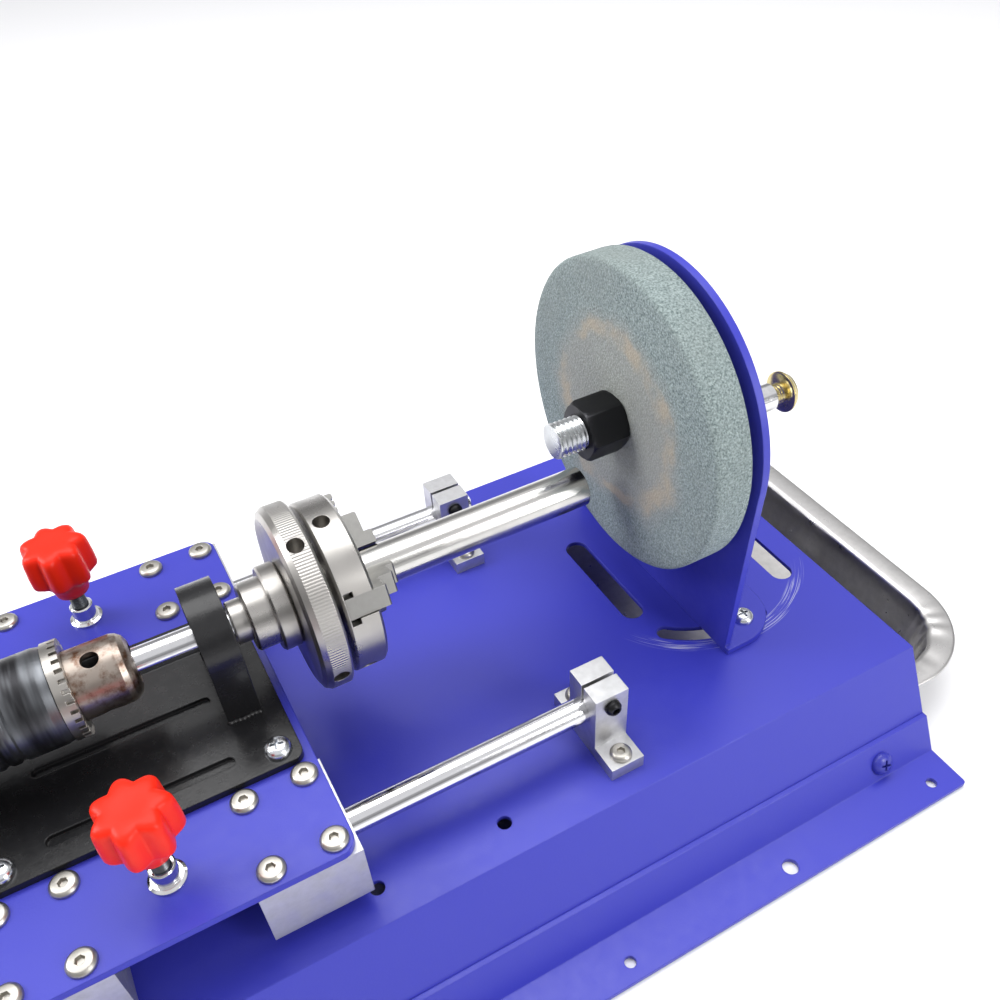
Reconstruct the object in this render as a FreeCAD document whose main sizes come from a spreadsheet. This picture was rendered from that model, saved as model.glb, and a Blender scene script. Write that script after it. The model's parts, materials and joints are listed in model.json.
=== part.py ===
import FreeCAD, Part
import math
import os
import Sketcher
from FreeCAD import Placement, Rotation, Vector

# Bench machine that feeds a rotating work tube against a face grinding wheel.
# Frame: millimetres, +Z up, +X from the drive motor towards the wheel, origin on the
# bench plane in the middle of the base's mounting holes.

doc = FreeCAD.newDocument("faceting_machine")

# ---------------------------------------------------------------- driving dimensions

DIMENSIONS = {
    # base: a bent sheet cover standing on two bent foot rails
    "base_length": 475.0,
    "base_height": 45.0,
    "top_half_width": 94.0,
    "side_run": 0.51,
    "side_angle": 27.0,
    "sheet_gauge": 2.0,
    "sheet_run": 2.25,
    "cover_foot": 3.0,
    "rail_top": 17.0,
    "rail_half_width": 137.0,
    "rail_gap": 0.05,
    "mount_hole_half_width": 130.0,
    "mount_hole_pitch": 75.0,
    "mount_hole_radius": 3.25,
    "small_hole_radius": 2.25,
    "rail_screw_x": 210.0,
    "rail_screw_height": 8.3,
    # guide rods and their clamping supports
    "rod_half_spacing": 64.25,
    "rod_height": 65.0,
    "rod_radius": 5.0,
    "rod_length": 320.0,
    "rod_right_end": 113.0,
    "support_x": 102.0,
    "support_pitch": 50.0,
    "support_span": 300.0,
    "support_length": 14.0,
    "support_width": 42.0,
    "support_foot": 6.0,
    "support_post": 18.0,
    "support_rise": 32.8,
    "support_hole_offset": 16.0,
    "support_hole_radius": 2.75,
    "support_slit": 1.5,
    "clamp_screw_rise": 27.0,
    # sliding carriage
    "carriage_x": -56.5,
    "block_half_pitch": 39.5,
    "block_length": 35.0,
    "block_width": 40.0,
    "block_height": 26.0,
    "block_below_rod": 13.0,
    "block_bore_radius": 9.5,
    "block_screw_pitch_x": 21.0,
    "block_screw_pitch_y": 28.0,
    "bushing_length": 29.0,
    "plate_length": 112.0,
    "plate_width": 169.0,
    "plate_gauge": 3.0,
    "plate_bottom": 78.0,
    "plate_corner": 6.0,
    # spindle bracket plate on the carriage
    "bracket_left": -205.0,
    "bracket_right": -3.5,
    "bracket_front": -44.8,
    "bracket_back": 37.0,
    "bracket_corner": 4.0,
    "bracket_screw_half_x": 45.5,
    "bracket_screw_front": -38.0,
    "bracket_screw_back": 28.0,
    "slot_half_length": 29.0,
    "slot_radius": 2.2,
    "groove_depth": 1.6,
    # spindle line
    "spindle_height": 110.8,
    "bearing_x": -16.5,
    "bearing_width": 9.0,
    "bearing_radius": 15.0,
    "arch_width": 12.0,
    "arch_radius": 18.6,
    "shaft_radius": 5.0,
    "shaft_left": -62.0,
    "shaft_right": 8.0,
    "hub_left": -9.5,
    "ring_left": 11.4,
    "ring_right": 22.0,
    "ring_radius": 34.8,
    "chuck_left": 24.0,
    "chuck_right": 36.0,
    "chuck_radius": 32.3,
    "jaw_width": 7.7,
    "jaw_clearance": 0.15,
    "slot_floor": 1.2,
    "jaw_foot": 31.2,
    "jaw_tongue": 27.0,
    "jaw_step": 21.6,
    "jaw_tip": 13.4,
    "tube_radius": 8.0,
    "tube_bore": 6.5,
    "tube_left": 26.0,
    "tube_right": 133.5,
    "drill_nose_radius": 12.3,
    "drill_nose_right": -43.0,
    "drill_nose_left": -63.0,
    "drill_sleeve_radius": 17.0,
    "drill_sleeve_left": -106.0,
    "drill_back": -118.0,
    # motor
    "motor_front": -125.0,
    "motor_length": 64.0,
    "motor_radius": 22.0,
    "motor_wall": 1.5,
    # carriage clamp knobs
    "stud_radius": 3.0,
    "stud_bottom": 70.3,
    "knob_bottom": 97.0,
    "knob_top": 122.0,
    "knob_radius": 12.6,
    # wheel station
    "pivot_x": 186.3,
    "arc_slot_radius": 47.0,
    "foot_gap": 0.1,
    "foot_reach": 13.7,
    "foot_half_width": 58.5,
    "foot_corner": 20.0,
    "upright_left": 169.6,
    "upright_gauge": 3.0,
    "upright_foot_half": 56.0,
    "upright_radius": 61.5,
    "arbor_height": 137.2,
    "arbor_radius": 7.0,
    "arbor_left": 121.0,
    "wheel_left": 149.0,
    "wheel_right": 165.0,
    "wheel_radius": 62.5,
    "nut_flats": 21.0,
    "nut_length": 16.0,
    "crank_offset": 19.75,
    # drip tray
    "tray_left": 19.0,
    "tray_right": 288.0,
    "tray_half_width": 100.0,
    "tray_height": 23.0,
    "tray_gauge": 1.0,
    "tray_rim": 11.0,
    "tray_corner": 40.0,
}

sheet = doc.addObject("Spreadsheet::Sheet", "dims")
for row, (alias, number) in enumerate(DIMENSIONS.items(), start=1):
    sheet.set("A%d" % row, alias)
    sheet.set("B%d" % row, str(number))
    sheet.setAlias("B%d" % row, alias)
doc.recompute()


def size(alias):
    """Number held by one sheet cell."""
    return float(sheet.get(alias))


def bound(text):
    """Sheet expression written with bare aliases, such as 'rod_height - rod_radius'."""
    words = text.replace("(", " ( ").replace(")", " ) ").split()
    return " ".join("dims." + word if word in DIMENSIONS else word for word in words)


# ---------------------------------------------------------------- building helpers

SUBPARTS = []


def subpart(feature, label):
    """Give the finished feature its node name and list it for writing."""
    feature.Label = label
    SUBPARTS.append(feature)
    return feature


def place(feature, corner):
    """Bind the feature's position to three sheet expressions."""
    for axis, text in zip("xyz", corner):
        feature.setExpression("Placement.Base." + axis, bound(text))
    return feature


def box(length, width, height, corner):
    feature = doc.addObject("Part::Box", "box")
    feature.setExpression("Length", bound(length))
    feature.setExpression("Width", bound(width))
    feature.setExpression("Height", bound(height))
    return place(feature, corner)


ALONG_X = Rotation(Vector(0, 1, 0), 90)
ALONG_Y = Rotation(Vector(1, 0, 0), -90)
ALONG_Z = Rotation()


def rod(radius, length, start, direction=ALONG_X):
    """Cylinder that starts at a point and runs along a row axis."""
    feature = doc.addObject("Part::Cylinder", "rod")
    feature.setExpression("Radius", bound(radius))
    feature.setExpression("Height", bound(length))
    feature.Placement = Placement(Vector(), direction)
    return place(feature, start)


def joined(pieces):
    feature = doc.addObject("Part::MultiFuse", "joined")
    feature.Shapes = pieces
    return feature


def group(pieces):
    """Separate solids that share one node."""
    feature = doc.addObject("Part::Compound", "group")
    feature.Links = pieces
    return feature


def cut(base, tools):
    feature = doc.addObject("Part::Cut", "cut")
    feature.Base = base
    feature.Tool = tools[0] if len(tools) == 1 else joined(tools)
    return feature


def new_body(name):
    return doc.addObject("PartDesign::Body", name)


def plane(body, role):
    return next(item for item in body.Origin.OriginFeatures if item.Role == role)


def new_sketch(body, role, offset="0"):
    sketch = body.newObject("Sketcher::SketchObject", body.Name + "_sketch")
    sketch.AttachmentSupport = [(plane(body, role), "")]
    sketch.MapMode = "FlatFace"
    sketch.setExpression("AttachmentOffset.Base.z", bound(offset))
    return sketch


def pin_point(sketch, geometry, end, first, second):
    """Hold one sketch point at two sheet expressions."""
    for kind, text in (("DistanceX", first), ("DistanceY", second)):
        index = sketch.addConstraint(Sketcher.Constraint(kind, geometry, end, 0.0))
        sketch.setExpression("Constraints[%d]" % index, bound(text))


def evaluated(text):
    return float(doc.getObject("dims").evalExpression(bound(text).replace("dims.", "")))


def polygon(sketch, points):
    """Closed outline whose every corner is bound to the sheet."""
    corners = [Vector(evaluated(first), evaluated(second), 0) for first, second in points]
    for index, corner in enumerate(corners):
        sketch.addGeometry(Part.LineSegment(corner, corners[(index + 1) % len(corners)]))
    for index in range(len(corners)):
        following = (index + 1) % len(corners)
        sketch.addConstraint(Sketcher.Constraint("Coincident", index, 2, following, 1))
    for index, (first, second) in enumerate(points):
        pin_point(sketch, index, 1, first, second)


def circle(sketch, first, second, radius):
    centre = Vector(evaluated(first), evaluated(second), 0)
    index = sketch.addGeometry(Part.Circle(centre, Vector(0, 0, 1), evaluated(radius)))
    pin_point(sketch, index, 3, first, second)
    constraint = sketch.addConstraint(Sketcher.Constraint("Radius", index, evaluated(radius)))
    sketch.setExpression("Constraints[%d]" % constraint, bound(radius))


def pad(body, sketch, length, midplane=False):
    feature = body.newObject("PartDesign::Pad", body.Name + "_pad")
    feature.Profile = sketch
    feature.setExpression("Length", bound(length))
    feature.Midplane = midplane
    return feature


def pocket(body, sketch, depth):
    """Pocket cut downwards from its sketch."""
    feature = body.newObject("PartDesign::Pocket", body.Name + "_pocket")
    feature.Profile = sketch
    feature.setExpression("Length", bound(depth))
    return feature


def round_corners(body, feature, radius, keep=lambda middle: True):
    """Round the body's upright edges whose middle passes the test."""
    doc.recompute()
    names = []
    for index, edge in enumerate(feature.Shape.Edges, start=1):
        upright = edge.BoundBox.XLength < 0.01 and edge.BoundBox.YLength < 0.01
        if upright and keep(edge.CenterOfMass):
            names.append("Edge%d" % index)
    fillet = body.newObject("PartDesign::Fillet", body.Name + "_fillet")
    fillet.Base = (feature, names)
    fillet.setExpression("Radius", bound(radius))
    return fillet


def turned(name, profile, height="0", across="0"):
    """Solid of revolution about X: profile points are (x, radius) expressions."""
    body = new_body(name)
    sketch = new_sketch(body, "XZ_Plane")
    polygon(sketch, profile)
    feature = body.newObject("PartDesign::Revolution", name + "_turn")
    feature.Profile = sketch
    feature.ReferenceAxis = (sketch, ["H_Axis"])
    feature.Angle = 360
    return place(body, ("0", across, height))


def upright_turned(name, profile, centre):
    """Solid of revolution about Z: profile points are (radius, z) expressions."""
    body = new_body(name)
    sketch = new_sketch(body, "XZ_Plane")
    polygon(sketch, profile)
    feature = body.newObject("PartDesign::Revolution", name + "_turn")
    feature.Profile = sketch
    feature.ReferenceAxis = (sketch, ["V_Axis"])
    feature.Angle = 360
    return place(body, (centre[0], centre[1], "0"))


def sleeve(name, left, right, outer, inner, height):
    """Plain turned ring about X."""
    profile = [(left, inner), (right, inner), (right, outer), (left, outer)]
    return turned(name, profile, height)


def copies(master, placements):
    """Group of equal solids: one master shape at several placements."""
    doc.recompute()
    shapes = []
    for placement in placements:
        shape = master.Shape.copy()
        shape.Placement = placement.multiply(shape.Placement)
        shapes.append(shape)
    feature = doc.addObject("Part::Feature", "copies")
    feature.Shape = Part.Compound(shapes)
    feature.Placement = Placement()
    return feature


def pan_screw(name, head_radius, head_height, shank_radius, shank_length):
    """Screw along Z with its head's seat at Z = 0 and its shank below."""
    profile = [("0", "0 - " + shank_length), (shank_radius, "0 - " + shank_length), (shank_radius, "0"),
               (head_radius, "0"), (head_radius, "%s * 0.5" % head_height),
               ("%s * 0.75" % head_radius, head_height), ("0", head_height)]
    return upright_turned(name, profile, ("0", "0"))


# ---------------------------------------------------------------- base

RAIL_SCREW_X = (-1, 0, 1)
SUPPORT_SIDES = (-1, 1)


def side_edge(height, offset="0"):
    """Half width of the sloping side's outer face at a height."""
    return "top_half_width + ( base_height - %s ) * side_run + %s" % (height, offset)


def rail_screw_placements():
    """Axes of the rail screws, square to the sloping sides and pointing outwards."""
    placements = []
    height = size("rail_screw_height")
    half_width = size("top_half_width") + (size("base_height") - height) * size("side_run")
    half_width += size("rail_gap") + size("sheet_run")
    for side in SUPPORT_SIDES:
        tilt = Rotation(Vector(1, 0, 0), -side * (90 - size("side_angle")))
        for step in RAIL_SCREW_X:
            place_at = Vector(step * size("rail_screw_x"), side * half_width, height)
            placements.append(Placement(place_at, tilt))
    return placements


def rail_screw_holes():
    hole = rod("small_hole_radius", "14", ("0", "0", "-8"), ALONG_Z)
    return copies(hole, rail_screw_placements())


def slot_tool(x, front, back, radius):
    """Cutter for a slot that runs along Y through the base's top sheet."""
    low = "base_height - 4"
    middle = box("2 * %s" % radius, "%s - ( %s )" % (back, front), "8",
                 ("%s - %s" % (x, radius), front, low))
    ends = [rod(radius, "8", (x, end, low), ALONG_Z) for end in (front, back)]
    return [middle] + ends


def arc_slot_tool(start_angle, sweep):
    """Cutter for a curved slot about the bracket's pivot."""
    half_width = "3.5"
    rings = []
    for radius in ("arc_slot_radius + " + half_width, "arc_slot_radius - " + half_width):
        ring = rod(radius, "8", ("pivot_x", "0", "base_height - 4"), ALONG_Z)
        ring.Angle = sweep
        ring.Placement.Rotation = Rotation(Vector(0, 0, 1), start_angle)
        rings.append(ring)
    ends = []
    for angle in (start_angle, start_angle + sweep):
        across = "arc_slot_radius * %.5f" % math.cos(math.radians(angle))
        along = "arc_slot_radius * %.5f" % math.sin(math.radians(angle))
        ends.append(rod(half_width, "8", ("pivot_x + " + across, along, "base_height - 4"), ALONG_Z))
    return [cut(rings[0], [rings[1]])] + ends


def base_cover():
    body = new_body("cover_sheet")
    sketch = new_sketch(body, "YZ_Plane")
    inner_top = "base_height - sheet_gauge"
    inner_foot = side_edge("cover_foot", "0 - sheet_run")
    inner_shoulder = side_edge("( base_height - sheet_gauge )", "0 - sheet_run")
    polygon(sketch, [
        ("0 - ( %s )" % side_edge("cover_foot"), "cover_foot"),
        ("0 - top_half_width", "base_height"),
        ("top_half_width", "base_height"),
        (side_edge("cover_foot"), "cover_foot"),
        (inner_foot, "cover_foot"),
        (inner_shoulder, inner_top),
        ("0 - ( %s )" % inner_shoulder, inner_top),
        ("0 - ( %s )" % inner_foot, "cover_foot"),
    ])
    pad(body, sketch, "base_length", midplane=True)
    tools = [rail_screw_holes()]
    for step in (0, 1, 2, 4, 5, 6):
        for side in ("0 - rod_half_spacing", "rod_half_spacing"):
            for offset in ("- support_hole_offset", "+ support_hole_offset"):
                hole = ("support_x - %d * support_pitch" % step, "%s %s" % (side, offset), "base_height - 4")
                tools.append(rod("support_hole_radius", "8", hole, ALONG_Z))
    tools += slot_tool("pivot_x - 36.1", "-16.7", "28.6", "5")
    tools += slot_tool("pivot_x + 34.3", "-31.4", "16.7", "5")
    tools += arc_slot_tool(228, 54)
    tools += arc_slot_tool(48, 54)
    tools.append(rod("3.2", "8", ("pivot_x", "0", "base_height - 4"), ALONG_Z))
    return subpart(cut(body, tools), "base_cover")


def foot_rail(label, side):
    body = new_body(label + "_strip")
    sketch = new_sketch(body, "YZ_Plane")
    inside = "rail_gap"
    outside = "rail_gap + sheet_run"
    outline = [(side_edge("rail_top", inside), "rail_top"), (side_edge("rail_top", outside), "rail_top"),
               (side_edge("sheet_gauge", outside), "sheet_gauge"), ("rail_half_width", "sheet_gauge"),
               ("rail_half_width", "0"), (side_edge("0", inside), "0")]
    polygon(sketch, [("%d * ( %s )" % (side, across), height) for across, height in outline])
    strip = pad(body, sketch, "base_length", midplane=True)
    outer_edge = 0.99 * size("rail_half_width")
    round_corners(body, strip, "1.5", lambda middle: abs(middle.y) > outer_edge)
    tools = [rail_screw_holes()]
    for step in range(-3, 4):
        radius = "mount_hole_radius" if step % 2 == 0 else "small_hole_radius"
        across = "%d * mount_hole_half_width" % side
        tools.append(rod(radius, "8", ("%d * mount_hole_pitch" % step, across, "-3"), ALONG_Z))
    return subpart(cut(body, tools), label)


def rail_screws():
    screw = pan_screw("rail_screw", "5", "3", "2.1", "7")
    return subpart(copies(screw, rail_screw_placements()), "rail_screws")


def guide_rod(label, side):
    left = "rod_right_end - rod_length"
    profile = [(left, "0"), ("rod_right_end", "0"), ("rod_right_end", "rod_radius - 0.8"),
               ("rod_right_end - 0.8", "rod_radius"), (left + " + 0.8", "rod_radius"),
               (left, "rod_radius - 0.8")]
    return subpart(turned(label, profile, "rod_height", "%d * rod_half_spacing" % side), label)


SUPPORTS = {
    "shaft_support_front_right": ("support_x", -1),
    "shaft_support_rear_right": ("support_x", 1),
    "shaft_support_front_left": ("support_x - support_span", -1),
    "shaft_support_rear_left": ("support_x - support_span", 1),
}


def shaft_support(label, x, side):
    """Aluminium support: a foot and a split post that grips the rod."""
    centre = "%d * rod_half_spacing" % side
    left = "%s - support_length / 2" % x
    foot = box("support_length", "support_width", "support_foot",
               (left, centre + " - support_width / 2", "base_height"))
    post = box("support_length", "support_post", "support_rise",
               (left, centre + " - support_post / 2", "base_height"))
    bore = rod("rod_radius + 0.02", "support_length + 2", (left + " - 1", centre, "rod_height"))
    slit = box("support_length + 2", "support_slit", "support_rise",
               (left + " - 1", centre + " - support_slit / 2", "rod_height"))
    clamp_hole = rod("2.1", "support_post + 2", (x, centre + " - support_post / 2 - 1",
                                                 "base_height + clamp_screw_rise"), ALONG_Y)
    holes = []
    for offset in ("- support_hole_offset", "+ support_hole_offset"):
        start = (x, "%s %s" % (centre, offset), "base_height - 1")
        holes.append(rod("support_hole_radius", "support_foot + 2", start, ALONG_Z))
    return subpart(cut(joined([foot, post]), [bore, slit, clamp_hole] + holes), label)


def support_clamp_screws():
    """Socket screws that close each support's slit, heads towards the front."""
    pieces = []
    for x, side in SUPPORTS.values():
        centre = "%d * rod_half_spacing" % side
        height = "base_height + clamp_screw_rise"
        face = centre + " - support_post / 2"
        head = rod("3.2", "3", (x, face + " - 3", height), ALONG_Y)
        shank = rod("2", "support_post - 1", (x, face, height), ALONG_Y)
        pieces.append(joined([head, shank]))
    return subpart(group(pieces), "support_clamp_screws")


def support_base_screws():
    """Socket screws and nuts that hold the supports on the cover."""
    pieces = []
    for x, side in SUPPORTS.values():
        for offset in ("- support_hole_offset", "+ support_hole_offset"):
            centre = "%d * rod_half_spacing %s" % (side, offset)
            seat = "base_height + support_foot"
            head = rod("4.2", "4.5", (x, centre, seat), ALONG_Z)
            shank = rod("2.5", "support_foot + sheet_gauge + 6", (x, centre, "base_height - sheet_gauge - 6"),
                        ALONG_Z)
            pieces.append(joined([head, shank]))
            nut = rod("4.4", "4", (x, centre, "base_height - sheet_gauge - 4"), ALONG_Z)
            bore = rod("2.52", "6", (x, centre, "base_height - sheet_gauge - 5"), ALONG_Z)
            pieces.append(cut(nut, [bore]))
    return subpart(group(pieces), "support_base_screws")


def rounded_rectangle(sketch, left, right, half_width, corner):
    """Closed rectangle with four tangent corner arcs."""
    low_x, high_x = evaluated(left), evaluated(right)
    half, radius = evaluated(half_width), evaluated(corner)
    centres = [(high_x - radius, half - radius), (low_x + radius, half - radius),
               (low_x + radius, radius - half), (high_x - radius, radius - half)]
    arcs = []
    for quarter, (x, y) in enumerate(centres):
        ring = Part.Circle(Vector(x, y, 0), Vector(0, 0, 1), radius)
        start = quarter * math.pi / 2
        arcs.append(Part.ArcOfCircle(ring, start, start + math.pi / 2))
    for quarter, arc in enumerate(arcs):
        sketch.addGeometry(arc)
        sketch.addGeometry(Part.LineSegment(arc.EndPoint, arcs[(quarter + 1) % 4].StartPoint))
    for quarter in range(4):
        arc, line, following = 2 * quarter, 2 * quarter + 1, (2 * quarter + 2) % 8
        sketch.addConstraint(Sketcher.Constraint("Tangent", arc, 2, line, 1))
        sketch.addConstraint(Sketcher.Constraint("Tangent", line, 2, following, 1))
    for quarter, kind in enumerate(("Horizontal", "Vertical", "Horizontal")):
        sketch.addConstraint(Sketcher.Constraint(kind, 2 * quarter + 1))
    for quarter in range(3):
        sketch.addConstraint(Sketcher.Constraint("Equal", 0, 2 * quarter + 2))
    bounds = [("Radius", (0,), corner), ("DistanceY", (0, 2), half_width),
              ("DistanceY", (4, 2), "0 - ( %s )" % half_width),
              ("DistanceX", (0, 1), right), ("DistanceX", (2, 2), left)]
    for kind, where, text in bounds:
        index = sketch.addConstraint(Sketcher.Constraint(kind, *where, evaluated(text)))
        sketch.setExpression("Constraints[%d]" % index, bound(text))


def tray_loft(body, kind, inset, floor, top):
    """Tapered block with rounded corners, added or taken away."""
    sections = []
    for height, shrink in ((floor, "5"), (top, "0")):
        sketch = new_sketch(body, "XY_Plane", height)
        margin = "tray_rim + %s + %s" % (shrink, inset)
        rounded_rectangle(sketch, "tray_left + " + margin, "tray_right - ( %s )" % margin,
                          "tray_half_width - ( %s )" % margin, "tray_corner - ( %s )" % margin)
        sections.append(sketch)
    feature = body.newObject(kind, body.Name + "_loft")
    feature.Profile = sections[0]
    feature.Sections = [sections[1]]
    return feature


def drip_tray():
    """Shallow pressed tray with a flat rim, standing on the bench under the cover."""
    body = new_body("drip_tray")
    rim = new_sketch(body, "XY_Plane", "tray_height - tray_gauge")
    rounded_rectangle(rim, "tray_left", "tray_right", "tray_half_width", "tray_corner")
    pad(body, rim, "tray_gauge")
    tray_loft(body, "PartDesign::AdditiveLoft", "0", "0", "tray_height")
    tray_loft(body, "PartDesign::SubtractiveLoft", "tray_gauge", "tray_gauge", "tray_height + 0.01")
    return subpart(place(body, ("0", "0", "0")), "drip_tray")


# ---------------------------------------------------------------- carriage

BLOCKS = {
    "bearing_block_front_right": (1, -1),
    "bearing_block_rear_right": (1, 1),
    "bearing_block_front_left": (-1, -1),
    "bearing_block_rear_left": (-1, 1),
}


def block_centre(end, side):
    return "carriage_x + %d * block_half_pitch" % end, "%d * rod_half_spacing" % side


def block_screw_points(end, side):
    x, y = block_centre(end, side)
    return [("%s + %d * block_screw_pitch_x / 2" % (x, across), "%s + %d * block_screw_pitch_y / 2" % (y, along))
            for across in (-1, 1) for along in (-1, 1)]


def rectangle(sketch, left, right, front, back):
    polygon(sketch, [(left, front), (right, front), (right, back), (left, back)])


def carriage_plate():
    body = new_body("carriage_sheet")
    sketch = new_sketch(body, "XY_Plane", "plate_bottom")
    rectangle(sketch, "carriage_x - plate_length / 2", "carriage_x + plate_length / 2",
              "0 - plate_width / 2", "plate_width / 2")
    blank = pad(body, sketch, "plate_gauge")
    round_corners(body, blank, "plate_corner")
    tools = []
    low = "plate_bottom - 2"
    for end, side in BLOCKS.values():
        for x, y in block_screw_points(end, side):
            tools.append(rod("2.75", "8", (x, y, low), ALONG_Z))
    for side in (-1, 1):
        tools.append(rod("4.5", "8", ("carriage_x", "%d * rod_half_spacing" % side, low), ALONG_Z))
    for x, y in bracket_screw_points():
        tools.append(rod("2.45", "8", (x, y, low), ALONG_Z))
    return subpart(cut(body, tools), "carriage_plate")


def bearing_block(label, end, side):
    x, y = block_centre(end, side)
    body = box("block_length", "block_width", "block_height",
               ("%s - block_length / 2" % x, "%s - block_width / 2" % y, "rod_height - block_below_rod"))
    bore = rod("block_bore_radius", "block_length + 2", ("%s - block_length / 2 - 1" % x, y, "rod_height"))
    tapped = [rod("2.1", "12.5", (px, py, "plate_bottom - 12"), ALONG_Z)
              for px, py in block_screw_points(end, side)]
    return subpart(cut(body, [bore] + tapped), label)


def linear_bushings():
    pieces = []
    for end, side in BLOCKS.values():
        x, y = block_centre(end, side)
        start = ("%s - bushing_length / 2" % x, y, "rod_height")
        shell = rod("block_bore_radius - 0.02", "bushing_length", start)
        bore = rod("rod_radius + 0.04", "bushing_length", start)
        pieces.append(cut(shell, [bore]))
    return subpart(group(pieces), "linear_bushings")


def seated_screws(label, screw, points, seat):
    """Equal upright screws with their heads on one level."""
    placements = []
    for x, y in points:
        placements.append(Placement(Vector(evaluated(x), evaluated(y), evaluated(seat)), Rotation()))
    return subpart(copies(screw, placements), label)


def block_screws():
    screw = pan_screw("block_screw", "4.75", "2.75", "2.05", "14")
    points = [point for end, side in BLOCKS.values() for point in block_screw_points(end, side)]
    return seated_screws("block_screws", screw, points, "plate_bottom + plate_gauge")


def bracket_screw_points():
    return [("carriage_x + %d * bracket_screw_half_x" % end, row)
            for end in (-1, 1) for row in ("bracket_screw_front", "bracket_screw_back")]


def motor_foot_points():
    return [("motor_front - %d" % x, "%d" % y) for x in (12, 32) for y in (-15, 15)]


def spindle_bracket_plate():
    body = new_body("bracket_sheet")
    sketch = new_sketch(body, "XY_Plane", "plate_bottom + plate_gauge")
    rectangle(sketch, "bracket_left", "bracket_right", "bracket_front", "bracket_back")
    blank = pad(body, sketch, "plate_gauge")
    round_corners(body, blank, "bracket_corner")
    tools = []
    low = "plate_bottom + plate_gauge - 2"
    groove = "plate_bottom + 2 * plate_gauge - groove_depth"
    for row in ("-34.5", "-4.75", "25"):
        tools.append(box("2 * slot_half_length", "2 * slot_radius", "8",
                         ("carriage_x - slot_half_length", row + " - slot_radius", groove)))
        for end in ("-", "+"):
            tools.append(rod("slot_radius", "8", ("carriage_x %s slot_half_length" % end, row, groove), ALONG_Z))
    for x, y in bracket_screw_points():
        tools.append(rod("2.6", "8", (x, y, low), ALONG_Z))
    for x, y in motor_foot_points():
        tools.append(rod("1.95", "8", (x, y, low), ALONG_Z))
    return subpart(cut(body, tools), "spindle_bracket_plate")


def bearing_arch():
    """Strap bent over the spindle bearing, its two legs welded to the bracket plate."""
    left = "bearing_x - arch_width / 2"
    floor = "plate_bottom + 2 * plate_gauge"
    rise = "spindle_height - ( %s )" % floor
    legs = box("arch_width", "2 * arch_radius", rise, (left, "0 - arch_radius", floor))
    crown = rod("arch_radius", "arch_width", (left, "0", "spindle_height"))
    gap = box("arch_width + 2", "2 * ( bearing_radius + 0.05 )", rise + " + 1",
              (left + " - 1", "0 - bearing_radius - 0.05", floor + " - 1"))
    seat = rod("bearing_radius + 0.05", "arch_width + 2", (left + " - 1", "0", "spindle_height"))
    return subpart(cut(joined([legs, crown]), [gap, seat]), "bearing_arch")


def bearing_saddle():
    """Block that carries the bearing's underside between the arch's legs."""
    floor = "plate_bottom + 2 * plate_gauge"
    block = box("bearing_width", "2 * bearing_radius", "spindle_height - 6 - ( %s )" % floor,
                ("bearing_x - bearing_width / 2", "0 - bearing_radius", floor))
    seat = rod("bearing_radius + 0.03", "bearing_width + 2",
               ("bearing_x - bearing_width / 2 - 1", "0", "spindle_height"))
    return subpart(cut(block, [seat]), "bearing_saddle")


def bracket_screws():
    screw = pan_screw("bracket_screw", "4.8", "3.2", "2.4", "8")
    return seated_screws("bracket_screws", screw, bracket_screw_points(), "plate_bottom + 2 * plate_gauge")


def bearing_ring(label, outer, inner, groove):
    """One bearing ring with a round-bottomed ball track, turned about the spindle."""
    left = "bearing_x - bearing_width / 2"
    right = "bearing_x + bearing_width / 2"
    ring = sleeve(label + "_blank", left, right, outer, inner, "spindle_height")
    track = doc.addObject("Part::Torus", label + "_track")
    track.setExpression("Radius1", bound("( bearing_radius + shaft_radius ) / 2"))
    track.setExpression("Radius2", bound(groove))
    track.Placement = Placement(Vector(), ALONG_X)
    place(track, ("bearing_x", "0", "spindle_height"))
    return subpart(cut(ring, [track]), label)


def bearing_balls():
    """Nine balls between the two rings."""
    centre = Vector(size("bearing_x"), 0, size("spindle_height"))
    pitch_radius = (size("bearing_radius") + size("shaft_radius")) / 2
    balls = []
    for step in range(9):
        turn = Rotation(Vector(1, 0, 0), 40 * step)
        balls.append(Part.makeSphere(2.4, centre + turn.multVec(Vector(0, pitch_radius, 0))))
    feature = doc.addObject("Part::Feature", "balls")
    feature.Shape = Part.Compound(balls)
    feature.Placement = Placement()
    return subpart(feature, "bearing_balls")


# ---------------------------------------------------------------- motor

MOTOR_REAR = "motor_front - motor_length"


def motor_screw_points():
    return [("14.5", "0"), ("-14.5", "0")]


def motor_can():
    """Steel can with a closed front and a bearing boss, open at the rear."""
    inner = "motor_radius - motor_wall"
    profile = [(MOTOR_REAR, inner), ("motor_front - 2", inner), ("motor_front - 2", "3"),
               ("motor_front + 4.5", "3"), ("motor_front + 4.5", "8.7"), ("motor_front", "8.7"),
               ("motor_front", "motor_radius - 1"), ("motor_front - 1", "motor_radius"),
               (MOTOR_REAR, "motor_radius")]
    can = turned("motor_shell", profile, "spindle_height")
    holes = [rod("1.6", "6", ("motor_front - 4", y, "spindle_height + " + z))
             for y, z in motor_screw_points()]
    return subpart(cut(can, holes), "motor_can")


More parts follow.
